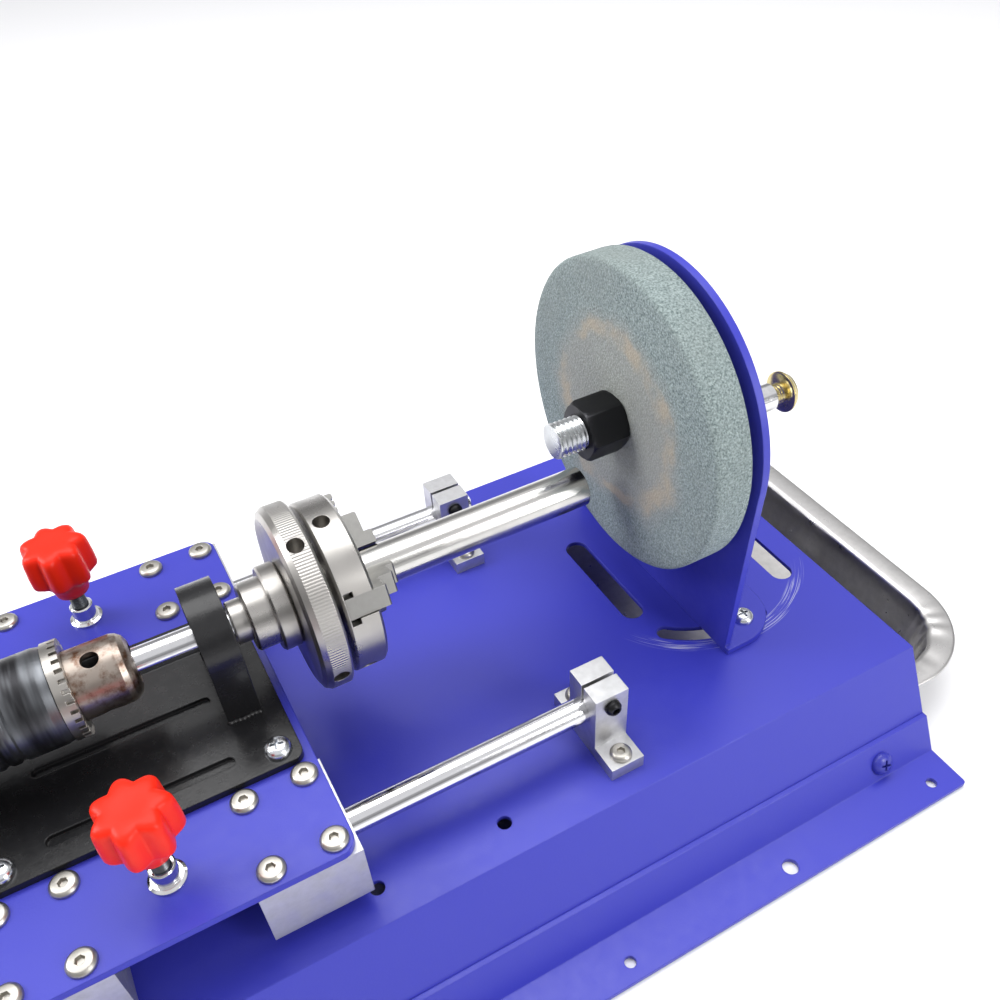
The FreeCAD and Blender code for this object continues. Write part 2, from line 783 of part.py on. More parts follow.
def motor_end_cap():
    """Plastic cap that closes the can and carries the brush holders."""
    profile = [(MOTOR_REAR, "3"), (MOTOR_REAR + " + 5", "3"), (MOTOR_REAR + " + 5", "motor_radius - motor_wall"),
               (MOTOR_REAR, "motor_radius - motor_wall"), (MOTOR_REAR, "motor_radius - 0.5"),
               (MOTOR_REAR + " - 2.5", "motor_radius - 1.5"), (MOTOR_REAR + " - 2.5", "9"),
               (MOTOR_REAR + " - 6", "8"), (MOTOR_REAR + " - 6", "3")]
    cap = turned("cap_shell", profile, "spindle_height")
    lugs = [box("7", "6", "1", (MOTOR_REAR + " - 9", "%d * 13 - 3" % side, "spindle_height"))
            for side in (-1, 1)]
    return subpart(joined([cap] + lugs), "motor_end_cap")


def motor_bracket():
    """Bent angle: its upright face carries the motor, its foot lies on the bracket plate."""
    floor = "plate_bottom + 2 * plate_gauge"
    face = box("3", "44", "48", ("motor_front", "-22", floor))
    foot = box("44", "44", "3", ("motor_front - 41", "-22", floor))
    boss = rod("9", "6", ("motor_front - 1", "0", "spindle_height"))
    holes = [rod("2.1", "6", ("motor_front - 1", y, "spindle_height + " + z)) for y, z in motor_screw_points()]
    holes += [rod("2.1", "6", (x, y, floor + " - 1"), ALONG_Z) for x, y in motor_foot_points()]
    return subpart(cut(joined([face, foot]), [boss] + holes), "motor_bracket")


def motor_screws():
    """Two screws into the motor's face and four through the angle's foot."""
    screw = pan_screw("motor_screw", "3.4", "2.2", "1.5", "4")
    placements = []
    facing = Rotation(Vector(0, 1, 0), 90)
    for y, z in motor_screw_points():
        place_at = Vector(size("motor_front") + 3, evaluated(y), size("spindle_height") + evaluated(z))
        placements.append(Placement(place_at, facing))
    for x, y in motor_foot_points():
        place_at = Vector(evaluated(x), evaluated(y), size("plate_bottom") + 2 * size("plate_gauge") + 3)
        placements.append(Placement(place_at, Rotation()))
    return subpart(copies(screw, placements), "motor_screws")


def motor_rotor():
    """Armature and its shaft, which reaches into the drill chuck's back."""
    profile = [(MOTOR_REAR + " - 4", "0"), ("drill_back + 12", "0"), ("drill_back + 12", "2.5"),
               ("motor_front - 10", "2.5"), ("motor_front - 10", "17"), (MOTOR_REAR + " + 14", "17"),
               (MOTOR_REAR + " + 14", "2.5"), (MOTOR_REAR + " - 4", "2.5")]
    return subpart(turned("motor_rotor", profile, "spindle_height"), "motor_rotor")


# ---------------------------------------------------------------- drill chuck

def drill_chuck_body():
    """Steel body: bored nose, core inside the sleeve, and solid back on the motor shaft."""
    profile = [("drill_back", "2.52"), ("drill_back + 12.5", "2.52"), ("drill_back + 12.5", "9.8"),
               ("drill_nose_right - 1.8", "9.8"), ("drill_nose_right - 1.8", "7.2"),
               ("drill_nose_right", "7.2"), ("drill_nose_right", "8.2"),
               ("drill_nose_right - 0.9", "drill_nose_radius - 2"),
               ("drill_nose_right - 2.6", "drill_nose_radius - 0.6"),
               ("drill_nose_right - 4.6", "drill_nose_radius"), ("drill_nose_left", "drill_nose_radius"),
               ("drill_nose_left", "12"), ("drill_sleeve_left", "12"), ("drill_sleeve_left", "14.5"),
               ("drill_back + 1.5", "14.5"), ("drill_back", "13")]
    blank = turned("nose_blank", profile, "spindle_height")
    keys = []
    for angle in (15, 135, 255):
        key = rod("3", "6", ("drill_nose_left + 8", "0", "spindle_height"), ALONG_Z)
        turn = Rotation(Vector(1, 0, 0), angle)
        start = turn.multVec(Vector(0, 0, size("drill_nose_radius") - 3))
        key.Placement.Rotation = turn
        place(key, ("drill_nose_left + 8", "%.4f" % start.y, "spindle_height + %.4f" % start.z))
        keys.append(key)
    return subpart(cut(blank, keys), "drill_chuck_body")


def drill_chuck_sleeve():
    """Turning sleeve, with shallow grip grooves near its rear end."""
    inner = "12.35"
    left = "drill_sleeve_left + 0.3"
    right = "drill_nose_left - 5.2"
    profile = [(left, inner), (right, inner), (right, "drill_sleeve_radius - 0.6"),
               (right + " - 3", "drill_sleeve_radius")]
    for step in range(4):
        edge = "drill_nose_left - %d" % (20 + 5 * step)
        profile += [(edge, "drill_sleeve_radius"), (edge + " - 1", "drill_sleeve_radius - 0.7"),
                    (edge + " - 2", "drill_sleeve_radius - 0.7"), (edge + " - 3", "drill_sleeve_radius")]
    profile += [(left + " + 1", "drill_sleeve_radius"), (left, "drill_sleeve_radius - 1")]
    return subpart(turned("drill_chuck_sleeve", profile, "spindle_height"), "drill_chuck_sleeve")


def drill_chuck_gear_ring():
    """Toothed ring pressed on the sleeve, turned by the chuck key."""
    ring = sleeve("gear_blank", "drill_nose_left - 5", "drill_nose_left", "drill_sleeve_radius + 0.2",
                  "drill_nose_radius + 0.2", "spindle_height")
    doc.recompute()
    notch = Part.makeBox(3, 1.4, 3, Vector(size("drill_nose_left") - 2.4, -0.7, 0))
    notches = []
    for step in range(30):
        shape = notch.copy()
        shape.translate(Vector(0, 0, size("drill_sleeve_radius") - 2.2))
        shape.rotate(Vector(), Vector(1, 0, 0), 12 * step)
        shape.translate(Vector(0, 0, size("spindle_height")))
        notches.append(shape)
    feature = doc.addObject("Part::Feature", "gear_ring")
    feature.Shape = ring.Shape.cut(notches)
    feature.Placement = Placement()
    return subpart(feature, "drill_chuck_gear_ring")


def turned_about_spindle(feature, angle):
    """Copy of a feature turned about the spindle axis."""
    doc.recompute()
    on_axis = Vector(0, 0, size("spindle_height"))
    spin = Placement(Vector(), Rotation(Vector(1, 0, 0), angle), on_axis)
    result = doc.addObject("Part::Feature", "turned_copy")
    result.Shape = feature.Shape
    result.Placement = spin.multiply(feature.Shape.Placement)
    return result


def drill_chuck_jaws():
    """Three fingers around the drive shaft."""
    finger = box("33", "4", "3.6", ("drill_nose_right - 35", "-2", "spindle_height + shaft_radius + 0.1"))
    for number, angle in enumerate((75, 195, 315), start=1):
        subpart(turned_about_spindle(finger, angle - 90), "drill_chuck_jaw_%d" % number)


def drive_shaft():
    profile = [("shaft_left", "0"), ("shaft_right", "0"), ("shaft_right", "shaft_radius - 0.5"),
               ("shaft_right - 0.5", "shaft_radius"), ("shaft_left + 0.5", "shaft_radius"),
               ("shaft_left", "shaft_radius - 0.5")]
    return subpart(turned("drive_shaft", profile, "spindle_height"), "drive_shaft")


# ---------------------------------------------------------------- lathe chuck

JAW_ANGLES = (35, 155, 275)


def lathe_chuck_hub():
    """Stepped adapter between the shaft and the chuck."""
    profile = [("hub_left", "shaft_radius + 0.02"), ("shaft_right + 0.5", "shaft_radius + 0.02"),
               ("shaft_right + 0.5", "0"), ("chuck_left - 0.1", "0"), ("chuck_left - 0.1", "12"),
               ("ring_left - 0.3", "12"), ("ring_left - 0.3", "15.2"), ("ring_left - 1", "15.9"),
               ("5", "15.9"), ("4.2", "15.1"), ("4.2", "12.6"), ("-3.2", "12.6"), ("-4", "11.8"),
               ("-4", "8"), ("hub_left + 0.5", "8"), ("hub_left", "7.5")]
    return subpart(turned("lathe_chuck_hub", profile, "spindle_height"), "lathe_chuck_hub")


def radial_holes(x, radius, depth, rim, angles):
    """Cutters for tommy-bar holes that point at the spindle axis."""
    holes = []
    for angle in angles:
        hole = rod(radius, depth, (x, "0", "0"), ALONG_Z)
        turn = Rotation(Vector(1, 0, 0), angle - 90)
        start = turn.multVec(Vector(0, 0, size(rim) - evaluated(depth) + 1))
        hole.Placement.Rotation = turn
        place(hole, (x, "%.4f" % start.y, "spindle_height + %.4f" % start.z))
        holes.append(hole)
    return holes


def scroll_ring():
    """Ring that opens and closes the jaws, with four tommy-bar holes."""
    profile = [("ring_left", "12.3"), ("ring_right", "12.3"), ("ring_right", "ring_radius - 0.8"),
               ("ring_right - 0.8", "ring_radius"), ("ring_left + 3", "ring_radius"),
               ("ring_left + 1", "ring_radius - 1.2"), ("ring_left", "ring_radius - 3.5")]
    blank = turned("scroll_blank", profile, "spindle_height")
    holes = radial_holes("( ring_left + ring_right ) / 2 + 0.5", "3", "12", "ring_radius", (18, 108, 198, 288))
    return subpart(cut(blank, holes), "scroll_ring")


def slotted(angle):
    """Cutters for one T-shaped jaw slot in the chuck's face."""
    wide = box("3.4", "jaw_width + 4 + 2 * jaw_clearance", "chuck_radius",
               ("chuck_left + slot_floor", "0 - jaw_width / 2 - 2 - jaw_clearance", "spindle_height + 7"))
    narrow = box("chuck_right - chuck_left", "jaw_width + 2 * jaw_clearance", "chuck_radius",
                 ("chuck_left + slot_floor", "0 - jaw_width / 2 - jaw_clearance", "spindle_height + 7"))
    return turned_about_spindle(joined([wide, narrow]), angle - 90)


def lathe_chuck_body():
    profile = [("chuck_left", "0"), ("chuck_left + 1", "0"), ("chuck_left + 1", "tube_radius + 0.3"),
               ("chuck_right", "tube_radius + 0.3"), ("chuck_right", "chuck_radius - 1"),
               ("chuck_right - 1", "chuck_radius"), ("chuck_left + 0.8", "chuck_radius"),
               ("chuck_left", "chuck_radius - 0.8")]
    blank = turned("chuck_blank", profile, "spindle_height")
    tools = radial_holes("chuck_left + 5", "3", "9", "chuck_radius", (95, 215, 335))
    tools += [slotted(angle) for angle in JAW_ANGLES]
    return subpart(cut(blank, tools), "lathe_chuck_body")


def lathe_jaws():
    """Stepped jaws whose tongues slide in the chuck's T slots."""
    back = "chuck_left + slot_floor + 0.2"
    reach = "chuck_right - chuck_left - slot_floor - 0.2"
    half = "0 - jaw_width / 2"
    base = "spindle_height + tube_radius + 0.2"
    tongue = box("2.9", "jaw_width + 4", "jaw_tongue - 12", (back, half + " - 2", "spindle_height + 12"))
    foot = box(reach + " + 4.5", "jaw_width", "jaw_foot - tube_radius - 0.2", (back, half, base))
    step = box("10", "jaw_width", "jaw_step - tube_radius - 0.2", ("chuck_right", half, base))
    tip = box("13", "jaw_width", "jaw_tip - tube_radius - 0.2", ("chuck_right", half, base))
    jaw = joined([tongue, foot, step, tip])
    for number, angle in enumerate(JAW_ANGLES, start=1):
        subpart(turned_about_spindle(jaw, angle - 90), "lathe_jaw_%d" % number)


def work_tube():
    tube = sleeve("work_tube", "tube_left", "tube_right", "tube_radius", "tube_bore", "spindle_height")
    return subpart(tube, "work_tube")


# ---------------------------------------------------------------- carriage clamp knobs

KNOB_SIDES = {"front": -1, "rear": 1}


def knob_ferrules():
    """Flanged threaded ferrules in the carriage plate, one over each rod."""
    top = "plate_bottom + plate_gauge"
    profile = [("stud_radius + 0.05", "plate_bottom - 1"), ("4.4", "plate_bottom - 1"), ("4.4", top),
               ("6.2", top), ("6.2", top + " + 1"), ("5.2", top + " + 1.6"), ("4.4", top + " + 1.6"),
               ("4.4", top + " + 7.5"), ("3.9", top + " + 8"), ("stud_radius + 0.05", top + " + 8")]
    pieces = [upright_turned("ferrule", profile, ("carriage_x", "%d * rod_half_spacing" % side))
              for side in KNOB_SIDES.values()]
    return subpart(group(pieces), "knob_ferrules")


def clamp_stud(label, side):
    profile = [("0", "stud_bottom"), ("stud_radius - 0.8", "stud_bottom"), ("stud_radius", "stud_bottom + 0.8"),
               ("stud_radius", "knob_bottom + 12"), ("0", "knob_bottom + 12")]
    centre = ("carriage_x", "%d * rod_half_spacing" % side)
    return subpart(upright_turned(label, profile, centre), label)


def clamp_knob(label, side):
    """Star knob: seven rounded lobes over a tapering hub."""
    lobe_radius = 3.6
    lobes = 7
    core = size("knob_radius") - 1.8
    height = size("knob_top") - size("knob_bottom") - 9
    head = Part.makeCylinder(core, height)
    for step in range(lobes):
        angle = 2 * math.pi * step / lobes
        lobe_centre = size("knob_radius") - lobe_radius
        centre = Vector(lobe_centre * math.cos(angle), lobe_centre * math.sin(angle), 0)
        head = head.fuse(Part.makeCylinder(lobe_radius, height, centre))
        between = angle + math.pi / lobes
        hollow = Vector((core + 2.4) * math.cos(between), (core + 2.4) * math.sin(between), -1)
        head = head.cut(Part.makeCylinder(3.2, height + 2, hollow))
    head.translate(Vector(0, 0, 9))
    hub = Part.makeCone(6.2, 9.4, 9.2)
    bore = Part.makeCylinder(size("stud_radius") + 0.03, 12.3, Vector(0, 0, -0.2))
    feature = doc.addObject("Part::Feature", label)
    feature.Shape = head.fuse(hub).cut(bore).removeSplitter()
    feature.Placement = Placement(Vector(size("carriage_x"), side * size("rod_half_spacing"),
                                         size("knob_bottom")), Rotation())
    return subpart(feature, label)


# ---------------------------------------------------------------- wheel station

FOOT_SCREWS = ("0 - arc_slot_radius", "0", "arc_slot_radius")


def wheel_bracket():
    """Bent plate: a round-headed upright behind the wheel and a foot with round corners."""
    low = "base_height + foot_gap"
    body = new_body("bracket_plate")
    upright = new_sketch(body, "YZ_Plane", "upright_left")
    polygon(upright, [("0 - upright_foot_half", low), ("upright_foot_half", low),
                      ("upright_radius", "arbor_height"), ("0 - upright_radius", "arbor_height")])
    pad(body, upright, "upright_gauge")
    disc = new_sketch(body, "YZ_Plane", "upright_left")
    circle(disc, "0", "arbor_height", "upright_radius")
    pad(body, disc, "upright_gauge")
    foot = new_sketch(body, "XY_Plane", low)
    rectangle(foot, "upright_left", "pivot_x + foot_reach", "0 - foot_half_width", "foot_half_width")
    blank = pad(body, foot, "upright_gauge")
    round_corners(body, blank, "foot_corner", lambda middle: middle.x > size("pivot_x"))
    tools = [rod("3.1", "8", ("pivot_x", y, low + " - 2"), ALONG_Z) for y in FOOT_SCREWS]
    tools.append(rod("10", "8", ("upright_left - 2", "0", "arbor_height")))
    return subpart(cut(body, tools), "wheel_bracket")


def bracket_foot_screws():
    """Pivot screw and two clamping screws in the curved slots, each with its nut."""
    seat = "base_height + foot_gap + upright_gauge"
    under = "base_height - sheet_gauge - 0.1"
    pieces = []
    for y in FOOT_SCREWS:
        profile = [("0", "base_height - sheet_gauge - 7"), ("2.9", "base_height - sheet_gauge - 7"),
                   ("2.9", seat), ("4.7", seat), ("4.7", seat + " + 1.4"), ("3.4", seat + " + 2.9"),
                   ("0", seat + " + 2.9")]
        pieces.append(upright_turned("foot_screw", profile, ("pivot_x", y)))
        nut = rod("5.4", "4.5", ("pivot_x", y, under + " - 4.5"), ALONG_Z)
        bore = rod("2.92", "6", ("pivot_x", y, under + " - 5"), ALONG_Z)
        pieces.append(cut(nut, [bore]))
    return subpart(group(pieces), "bracket_foot_screws")


def arbor_bush():
    """Flanged bush in the upright that the wheel arbor turns in."""
    bore = "arbor_radius + 0.05"
    back = "upright_left + upright_gauge"
    profile = [("upright_left", bore), ("upright_left + 14", bore), ("upright_left + 14", "9.98"),
               (back + " + 2.5", "9.98"), (back + " + 2.5", "14"), (back, "14"), (back, "9.98"),
               ("upright_left", "9.98")]
    return subpart(turned("arbor_bush", profile, "arbor_height"), "arbor_bush")


def wheel_arbor():
    """Threaded stud with a shoulder behind the wheel and a journal for the bush."""
    profile = [("arbor_left", "0"), ("upright_left + 22", "0"), ("upright_left + 22", "arbor_radius"),
               ("wheel_right + 4.2", "arbor_radius"), ("wheel_right + 4.2", "20"), ("wheel_right", "20"),
               ("wheel_right", "arbor_radius"), ("arbor_left + 1.2", "arbor_radius"),
               ("arbor_left", "arbor_radius - 1.2")]
    return subpart(turned("wheel_arbor", profile, "arbor_height"), "wheel_arbor")


def grinding_wheel():
    profile = [("wheel_left", "arbor_radius + 0.05"), ("wheel_right", "arbor_radius + 0.05"),
               ("wheel_right", "wheel_radius - 1"), ("wheel_right - 1", "wheel_radius"),
               ("wheel_left + 1", "wheel_radius"), ("wheel_left", "wheel_radius - 1")]
    return subpart(turned("grinding_wheel", profile, "arbor_height"), "grinding_wheel")


def wheel_nut():
    """Long hexagon nut that clamps the wheel."""
    corner = "nut_flats / 2 / %.6f" % math.cos(math.radians(30))
    body = new_body("wheel_nut")
    sketch = new_sketch(body, "YZ_Plane", "wheel_left - nut_length")
    corners = []
    for step in range(6):
        angle = math.radians(60 * step)
        corners.append(("%s * %.6f" % (corner, math.cos(angle)), "%s * %.6f" % (corner, math.sin(angle))))
    polygon(sketch, corners)
    circle(sketch, "0", "0", "arbor_radius + 0.02")
    pad(body, sketch, "nut_length")
    return subpart(place(body, ("0", "0", "arbor_height")), "wheel_nut")


def crank_arm():
    """Short arm on the arbor's rear end that carries the hand grip."""
    left = "upright_left + 16"
    ends = [rod("9", "4", (left, "0", "arbor_height")), rod("7", "4", (left, "0 - crank_offset", "arbor_height"))]
    bar = box("4", "crank_offset", "14", (left, "0 - crank_offset", "arbor_height - 7"))
    holes = [rod("arbor_radius + 0.02", "8", (left + " - 2", "0", "arbor_height")),
             rod("4.02", "8", (left + " - 2", "0 - crank_offset", "arbor_height"))]
    return subpart(cut(joined(ends + [bar]), holes), "crank_arm")


def crank_bolt():
    """Round-headed bolt screwed into the arm: the grip turns on its shank."""
    left = "upright_left + 14"
    right = "upright_left + 43.5"
    profile = [(left, "0"), (right + " + 4.5", "0"), (right + " + 4.2", "3"), (right + " + 3", "6"),
               (right + " + 1", "8"), (right, "8.4"), (right, "4"), (left, "4")]
    bolt = turned("crank_bolt", profile, "arbor_height", "0 - crank_offset")
    return subpart(bolt, "crank_bolt")


def crank_sleeve():
    left = "upright_left + 20.3"
    right = "upright_left + 39"
    profile = [(left, "4.06"), (right, "4.06"), (right, "4.7"), (right + " - 0.8", "5.5"),
               (left + " + 0.8", "5.5"), (left, "4.7")]
    return subpart(turned("crank_sleeve", profile, "arbor_height", "0 - crank_offset"), "crank_sleeve")


# ---------------------------------------------------------------- assembly

def build():
    base_cover()
    foot_rail("front_foot_rail", -1)
    foot_rail("rear_foot_rail", 1)
    rail_screws()
    guide_rod("front_guide_rod", -1)
    guide_rod("rear_guide_rod", 1)
    for label, (x, side) in SUPPORTS.items():
        shaft_support(label, x, side)
    support_clamp_screws()
    support_base_screws()
    drip_tray()

    carriage_plate()
    for label, (end, side) in BLOCKS.items():
        bearing_block(label, end, side)
    linear_bushings()
    block_screws()
    spindle_bracket_plate()
    bearing_arch()
    bearing_saddle()
    bracket_screws()
    bearing_ring("bearing_outer_ring", "bearing_radius", "12.1", "2.45")
    bearing_ring("bearing_inner_ring", "7.9", "shaft_radius + 0.01", "2.45")
    bearing_balls()

    motor_can()
    motor_end_cap()
    motor_bracket()
    motor_screws()
    motor_rotor()

    drill_chuck_body()
    drill_chuck_sleeve()
    drill_chuck_gear_ring()
    drill_chuck_jaws()
    drive_shaft()

    lathe_chuck_hub()
    scroll_ring()
    lathe_chuck_body()
    lathe_jaws()
    work_tube()

    knob_ferrules()
    for name, side in KNOB_SIDES.items():
        clamp_stud(name + "_clamp_stud", side)
        clamp_knob(name + "_clamp_knob", side)

    wheel_bracket()
    bracket_foot_screws()
    arbor_bush()
    wheel_arbor()
    grinding_wheel()
    wheel_nut()
    crank_arm()
    crank_bolt()
    crank_sleeve()


def check_document():
    """Stop if any feature failed or any sub-part's shape is unusable."""
    doc.recompute()
    for item in doc.Objects:
        if "Invalid" in item.State or "Error" in item.State:
            raise RuntimeError("%s (%s) did not recompute" % (item.Name, item.Label))
    for feature in SUBPARTS:
        if feature.Shape.isNull() or not feature.Shape.isValid() or not feature.Shape.Solids:
            raise RuntimeError("%s has no valid solid" % feature.Label)


def write_parts():
    os.makedirs("parts", exist_ok=True)
    for feature in SUBPARTS:
        feature.Shape.exportStep("parts/%s.step" % feature.Label)


build()
check_document()
write_parts()
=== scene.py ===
import json
import math
import bmesh
import bpy
import numpy as np
from mathutils import Matrix, Vector


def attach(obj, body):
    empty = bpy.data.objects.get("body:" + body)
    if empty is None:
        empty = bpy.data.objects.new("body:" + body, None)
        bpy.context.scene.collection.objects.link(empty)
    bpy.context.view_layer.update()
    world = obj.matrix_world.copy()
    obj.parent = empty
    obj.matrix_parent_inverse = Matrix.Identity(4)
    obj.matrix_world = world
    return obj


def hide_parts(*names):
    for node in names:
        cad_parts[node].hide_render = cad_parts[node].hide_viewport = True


# Bench grinding machine in its own frame: metres, +Z up, +X from the motor to the wheel.

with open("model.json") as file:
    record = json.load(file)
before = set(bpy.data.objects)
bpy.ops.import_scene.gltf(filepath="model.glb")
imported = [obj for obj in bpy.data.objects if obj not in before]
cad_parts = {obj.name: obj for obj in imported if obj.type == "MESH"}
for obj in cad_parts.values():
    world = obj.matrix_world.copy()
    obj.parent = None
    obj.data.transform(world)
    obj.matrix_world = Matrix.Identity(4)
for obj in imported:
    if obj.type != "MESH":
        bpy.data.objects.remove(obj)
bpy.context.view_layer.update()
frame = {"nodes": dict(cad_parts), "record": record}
nodes = frame["nodes"]

# ---------------------------------------------------------------- camera and light

scene = bpy.context.scene
camera_data = bpy.data.cameras.new("camera")
camera = bpy.data.objects.new("camera", camera_data)
scene.collection.objects.link(camera)
camera.location = (-0.025269, -0.253296, 0.357387)
camera.rotation_euler = (0.822136, 0.046561, -0.501800)
camera_data.lens = 34.9705
camera_data.sensor_width = 36.0
camera_data.shift_x = -0.007
camera_data.shift_y = 0.0445
camera_data.clip_start = 0.01
scene.camera = camera
scene.view_settings.view_transform = "Standard"


def area_light(name, location, target, width, height, power):
    """Soft rectangular lamp that faces a point."""
    data = bpy.data.lights.new(name, "AREA")
    data.shape = "RECTANGLE"
    data.size = width
    data.size_y = height
    data.energy = power
    lamp = bpy.data.objects.new(name, data)
    scene.collection.objects.link(lamp)
    lamp.location = location
    aim = Vector(target) - Vector(location)
    lamp.rotation_euler = aim.to_track_quat("-Z", "Y").to_euler()
    return lamp


MIDDLE = (0.05, 0.0, 0.08)
area_light("overhead", (0.2, 0.3, 1.3), MIDDLE, 1.2, 0.8, 12.0)
area_light("rear_left", (-0.9, 0.5, 0.8), MIDDLE, 0.5, 0.9, 11.0)
area_light("front_right", (0.7, -1.1, 0.7), MIDDLE, 0.4, 0.9, 10.0)


def studio_world():
    """Bright overhead and at the horizon with a dim band between, for metal to mirror."""
    world = bpy.data.worlds.new("studio")
    world.use_nodes = True
    scene.world = world
    tree = world.node_tree
    place = tree.nodes.new("ShaderNodeTexCoord")
    split = tree.nodes.new("ShaderNodeSeparateXYZ")
    ramp = tree.nodes.new("ShaderNodeValToRGB")
    tree.links.new(place.outputs["Generated"], split.inputs["Vector"])
    tree.links.new(split.outputs["Z"], ramp.inputs["Fac"])
    tree.links.new(ramp.outputs["Color"], tree.nodes["Background"].inputs["Color"])
    stops = ((0.0, 0.85), (0.12, 0.85), (0.24, 0.24), (0.40, 0.45), (0.54, 0.45), (0.64, 1.0), (1.0, 0.98))
    for index, (position, level) in enumerate(stops):
        stop = ramp.color_ramp.elements[index] if index < 2 else ramp.color_ramp.elements.new(position)
        stop.position = position
        stop.color = (level, level, 1.02 * level, 1)
    tree.nodes["Background"].inputs["Strength"].default_value = 0.9


def studio_floor():
    """Plain white floor under the machine."""
    mesh = bpy.data.meshes.new("floor")
    reach = 80.0
    corners = [(-reach, -reach), (reach, -reach), (reach, reach), (-reach, reach)]
    mesh.from_pydata([(x, y, -0.0006) for x, y in corners], [], [(0, 1, 2, 3)])
    floor = bpy.data.objects.new("floor", mesh)
    scene.collection.objects.link(floor)
    material = bpy.data.materials.new("floor_white")
    material.use_nodes = True
    surface = material.node_tree.nodes["Principled BSDF"]
    surface.inputs["Base Color"].default_value = (0.88, 0.88, 0.89, 1)
    surface.inputs["Roughness"].default_value = 0.9
    mesh.materials.append(material)


studio_world()
studio_floor()

# ---------------------------------------------------------------- materials

MATERIALS = {}
SPINDLE_HEIGHT = 0.1108
ARBOR_HEIGHT = 0.1372
BRACKET_PIVOT = 0.1863


class Finish:
    """One procedural material built around a Principled surface."""

    def __init__(self, name, color, metallic, roughness, edge=0.0004):
        self.material = bpy.data.materials.new(name)
        self.material.use_nodes = True
        self.tree = self.material.node_tree
        self.surface = self.tree.nodes["Principled BSDF"]
        self.surface.inputs["Base Color"].default_value = (*color, 1)
        self.surface.inputs["Metallic"].default_value = metallic
        self.surface.inputs["Roughness"].default_value = roughness
        self.place = self.node("ShaderNodeTexCoord").outputs["Object"]
        self.normal = None
        if edge:
            bevel = self.node("ShaderNodeBevel")
            bevel.samples = 4
            bevel.inputs["Radius"].default_value = edge
            self.normal = bevel.outputs["Normal"]
            self.link(self.normal, self.surface.inputs["Normal"])
        MATERIALS[name] = self.material

    def node(self, kind, **settings):
        made = self.tree.nodes.new(kind)
        for name, value in settings.items():
            setattr(made, name, value)
        return made

    def link(self, output, target):
        self.tree.links.new(output, target)

    def set(self, name, value):
        self.surface.inputs[name].default_value = value
        return self

    def stretched(self, stretch):
        """Object coordinates scaled along each axis."""
        mapping = self.node("ShaderNodeMapping")
        mapping.inputs["Scale"].default_value = stretch
        self.link(self.place, mapping.inputs["Vector"])
        return mapping.outputs["Vector"]

    def noise(self, scale, detail=4.0, stretch=(1, 1, 1), rough=0.55):
        texture = self.node("ShaderNodeTexNoise")
        texture.inputs["Scale"].default_value = scale
        texture.inputs["Detail"].default_value = detail
        texture.inputs["Roughness"].default_value = rough
        self.link(self.stretched(stretch), texture.inputs["Vector"])
        return texture.outputs["Fac"]

    def ramp(self, value, low, high):
        """Value stretched so that low gives 0 and high gives 1."""
        stretch = self.node("ShaderNodeMapRange")
        stretch.inputs["From Min"].default_value = low
        stretch.inputs["From Max"].default_value = high
        self.link(value, stretch.inputs["Value"])
        return stretch.outputs["Result"]

    def math(self, operation, first, second=None):
        """One arithmetic step on links or plain numbers."""
        step = self.node("ShaderNodeMath", operation=operation)
        for socket, value in zip(step.inputs, (first, second)):
            if isinstance(value, (int, float)):
                socket.default_value = value
            elif value is not None:
                self.link(value, socket)
        return step.outputs["Value"]

    def coordinate(self, axis):
        split = self.node("ShaderNodeSeparateXYZ")
        self.link(self.place, split.inputs["Vector"])
        return split.outputs[axis]

    def distance(self, first, second):
        return self.math("SQRT", self.math("ADD", self.math("MULTIPLY", first, first),
                                           self.math("MULTIPLY", second, second)))

    def between(self, value, low, high, soft):
        """One inside a range, falling to zero over a soft edge."""
        return self.math("MULTIPLY", self.ramp(value, low - soft, low), self.ramp(value, high + soft, high))

    def mix(self, amount, first, second):
        """Colour between two colours or links."""
        blend = self.node("ShaderNodeMix", data_type="RGBA")
        self.link(amount, blend.inputs["Factor"])
        for socket, color in ((blend.inputs["A"], first), (blend.inputs["B"], second)):
            if isinstance(color, tuple):
                socket.default_value = (*color, 1)
            else:
                self.link(color, socket)
        return blend.outputs["Result"]

    def paint(self, color):
        self.link(color, self.surface.inputs["Base Color"])
        return self

    def vary_roughness(self, value, low, high):
        stretch = self.node("ShaderNodeMapRange")
        stretch.inputs["From Min"].default_value = 0.3
        stretch.inputs["From Max"].default_value = 0.7
        stretch.inputs["To Min"].default_value = low
        stretch.inputs["To Max"].default_value = high
        self.link(value, stretch.inputs["Value"])
        self.link(stretch.outputs["Result"], self.surface.inputs["Roughness"])
        return self

    def bump(self, height, distance, strength=1.0):
        """Add a height map, in metres, on top of the normal so far."""
        bump = self.node("ShaderNodeBump")
        bump.inputs["Distance"].default_value = distance
        bump.inputs["Strength"].default_value = strength
        self.link(height, bump.inputs["Height"])
        if self.normal:
            self.link(self.normal, bump.inputs["Normal"])
        self.normal = bump.outputs["Normal"]
        self.link(self.normal, self.surface.inputs["Normal"])
        return self


def powder_coat(name, color, roughness):
    """Baked powder paint with a fine orange-peel grain."""
    finish = Finish(name, color, 0.0, roughness, edge=0.0007)
    cloud = finish.noise(9.0, detail=2)
    finish.paint(finish.mix(finish.ramp(cloud, 0.3, 0.7), color, tuple(1.12 * part for part in color)))
    grain = finish.noise(1100.0, detail=2)
    finish.bump(grain, 0.00007, 0.45)
    finish.vary_roughness(finish.noise(240.0, detail=3), roughness - 0.05, roughness + 0.06)
    finish.set("Specular IOR Level", 0.4)
    return finish


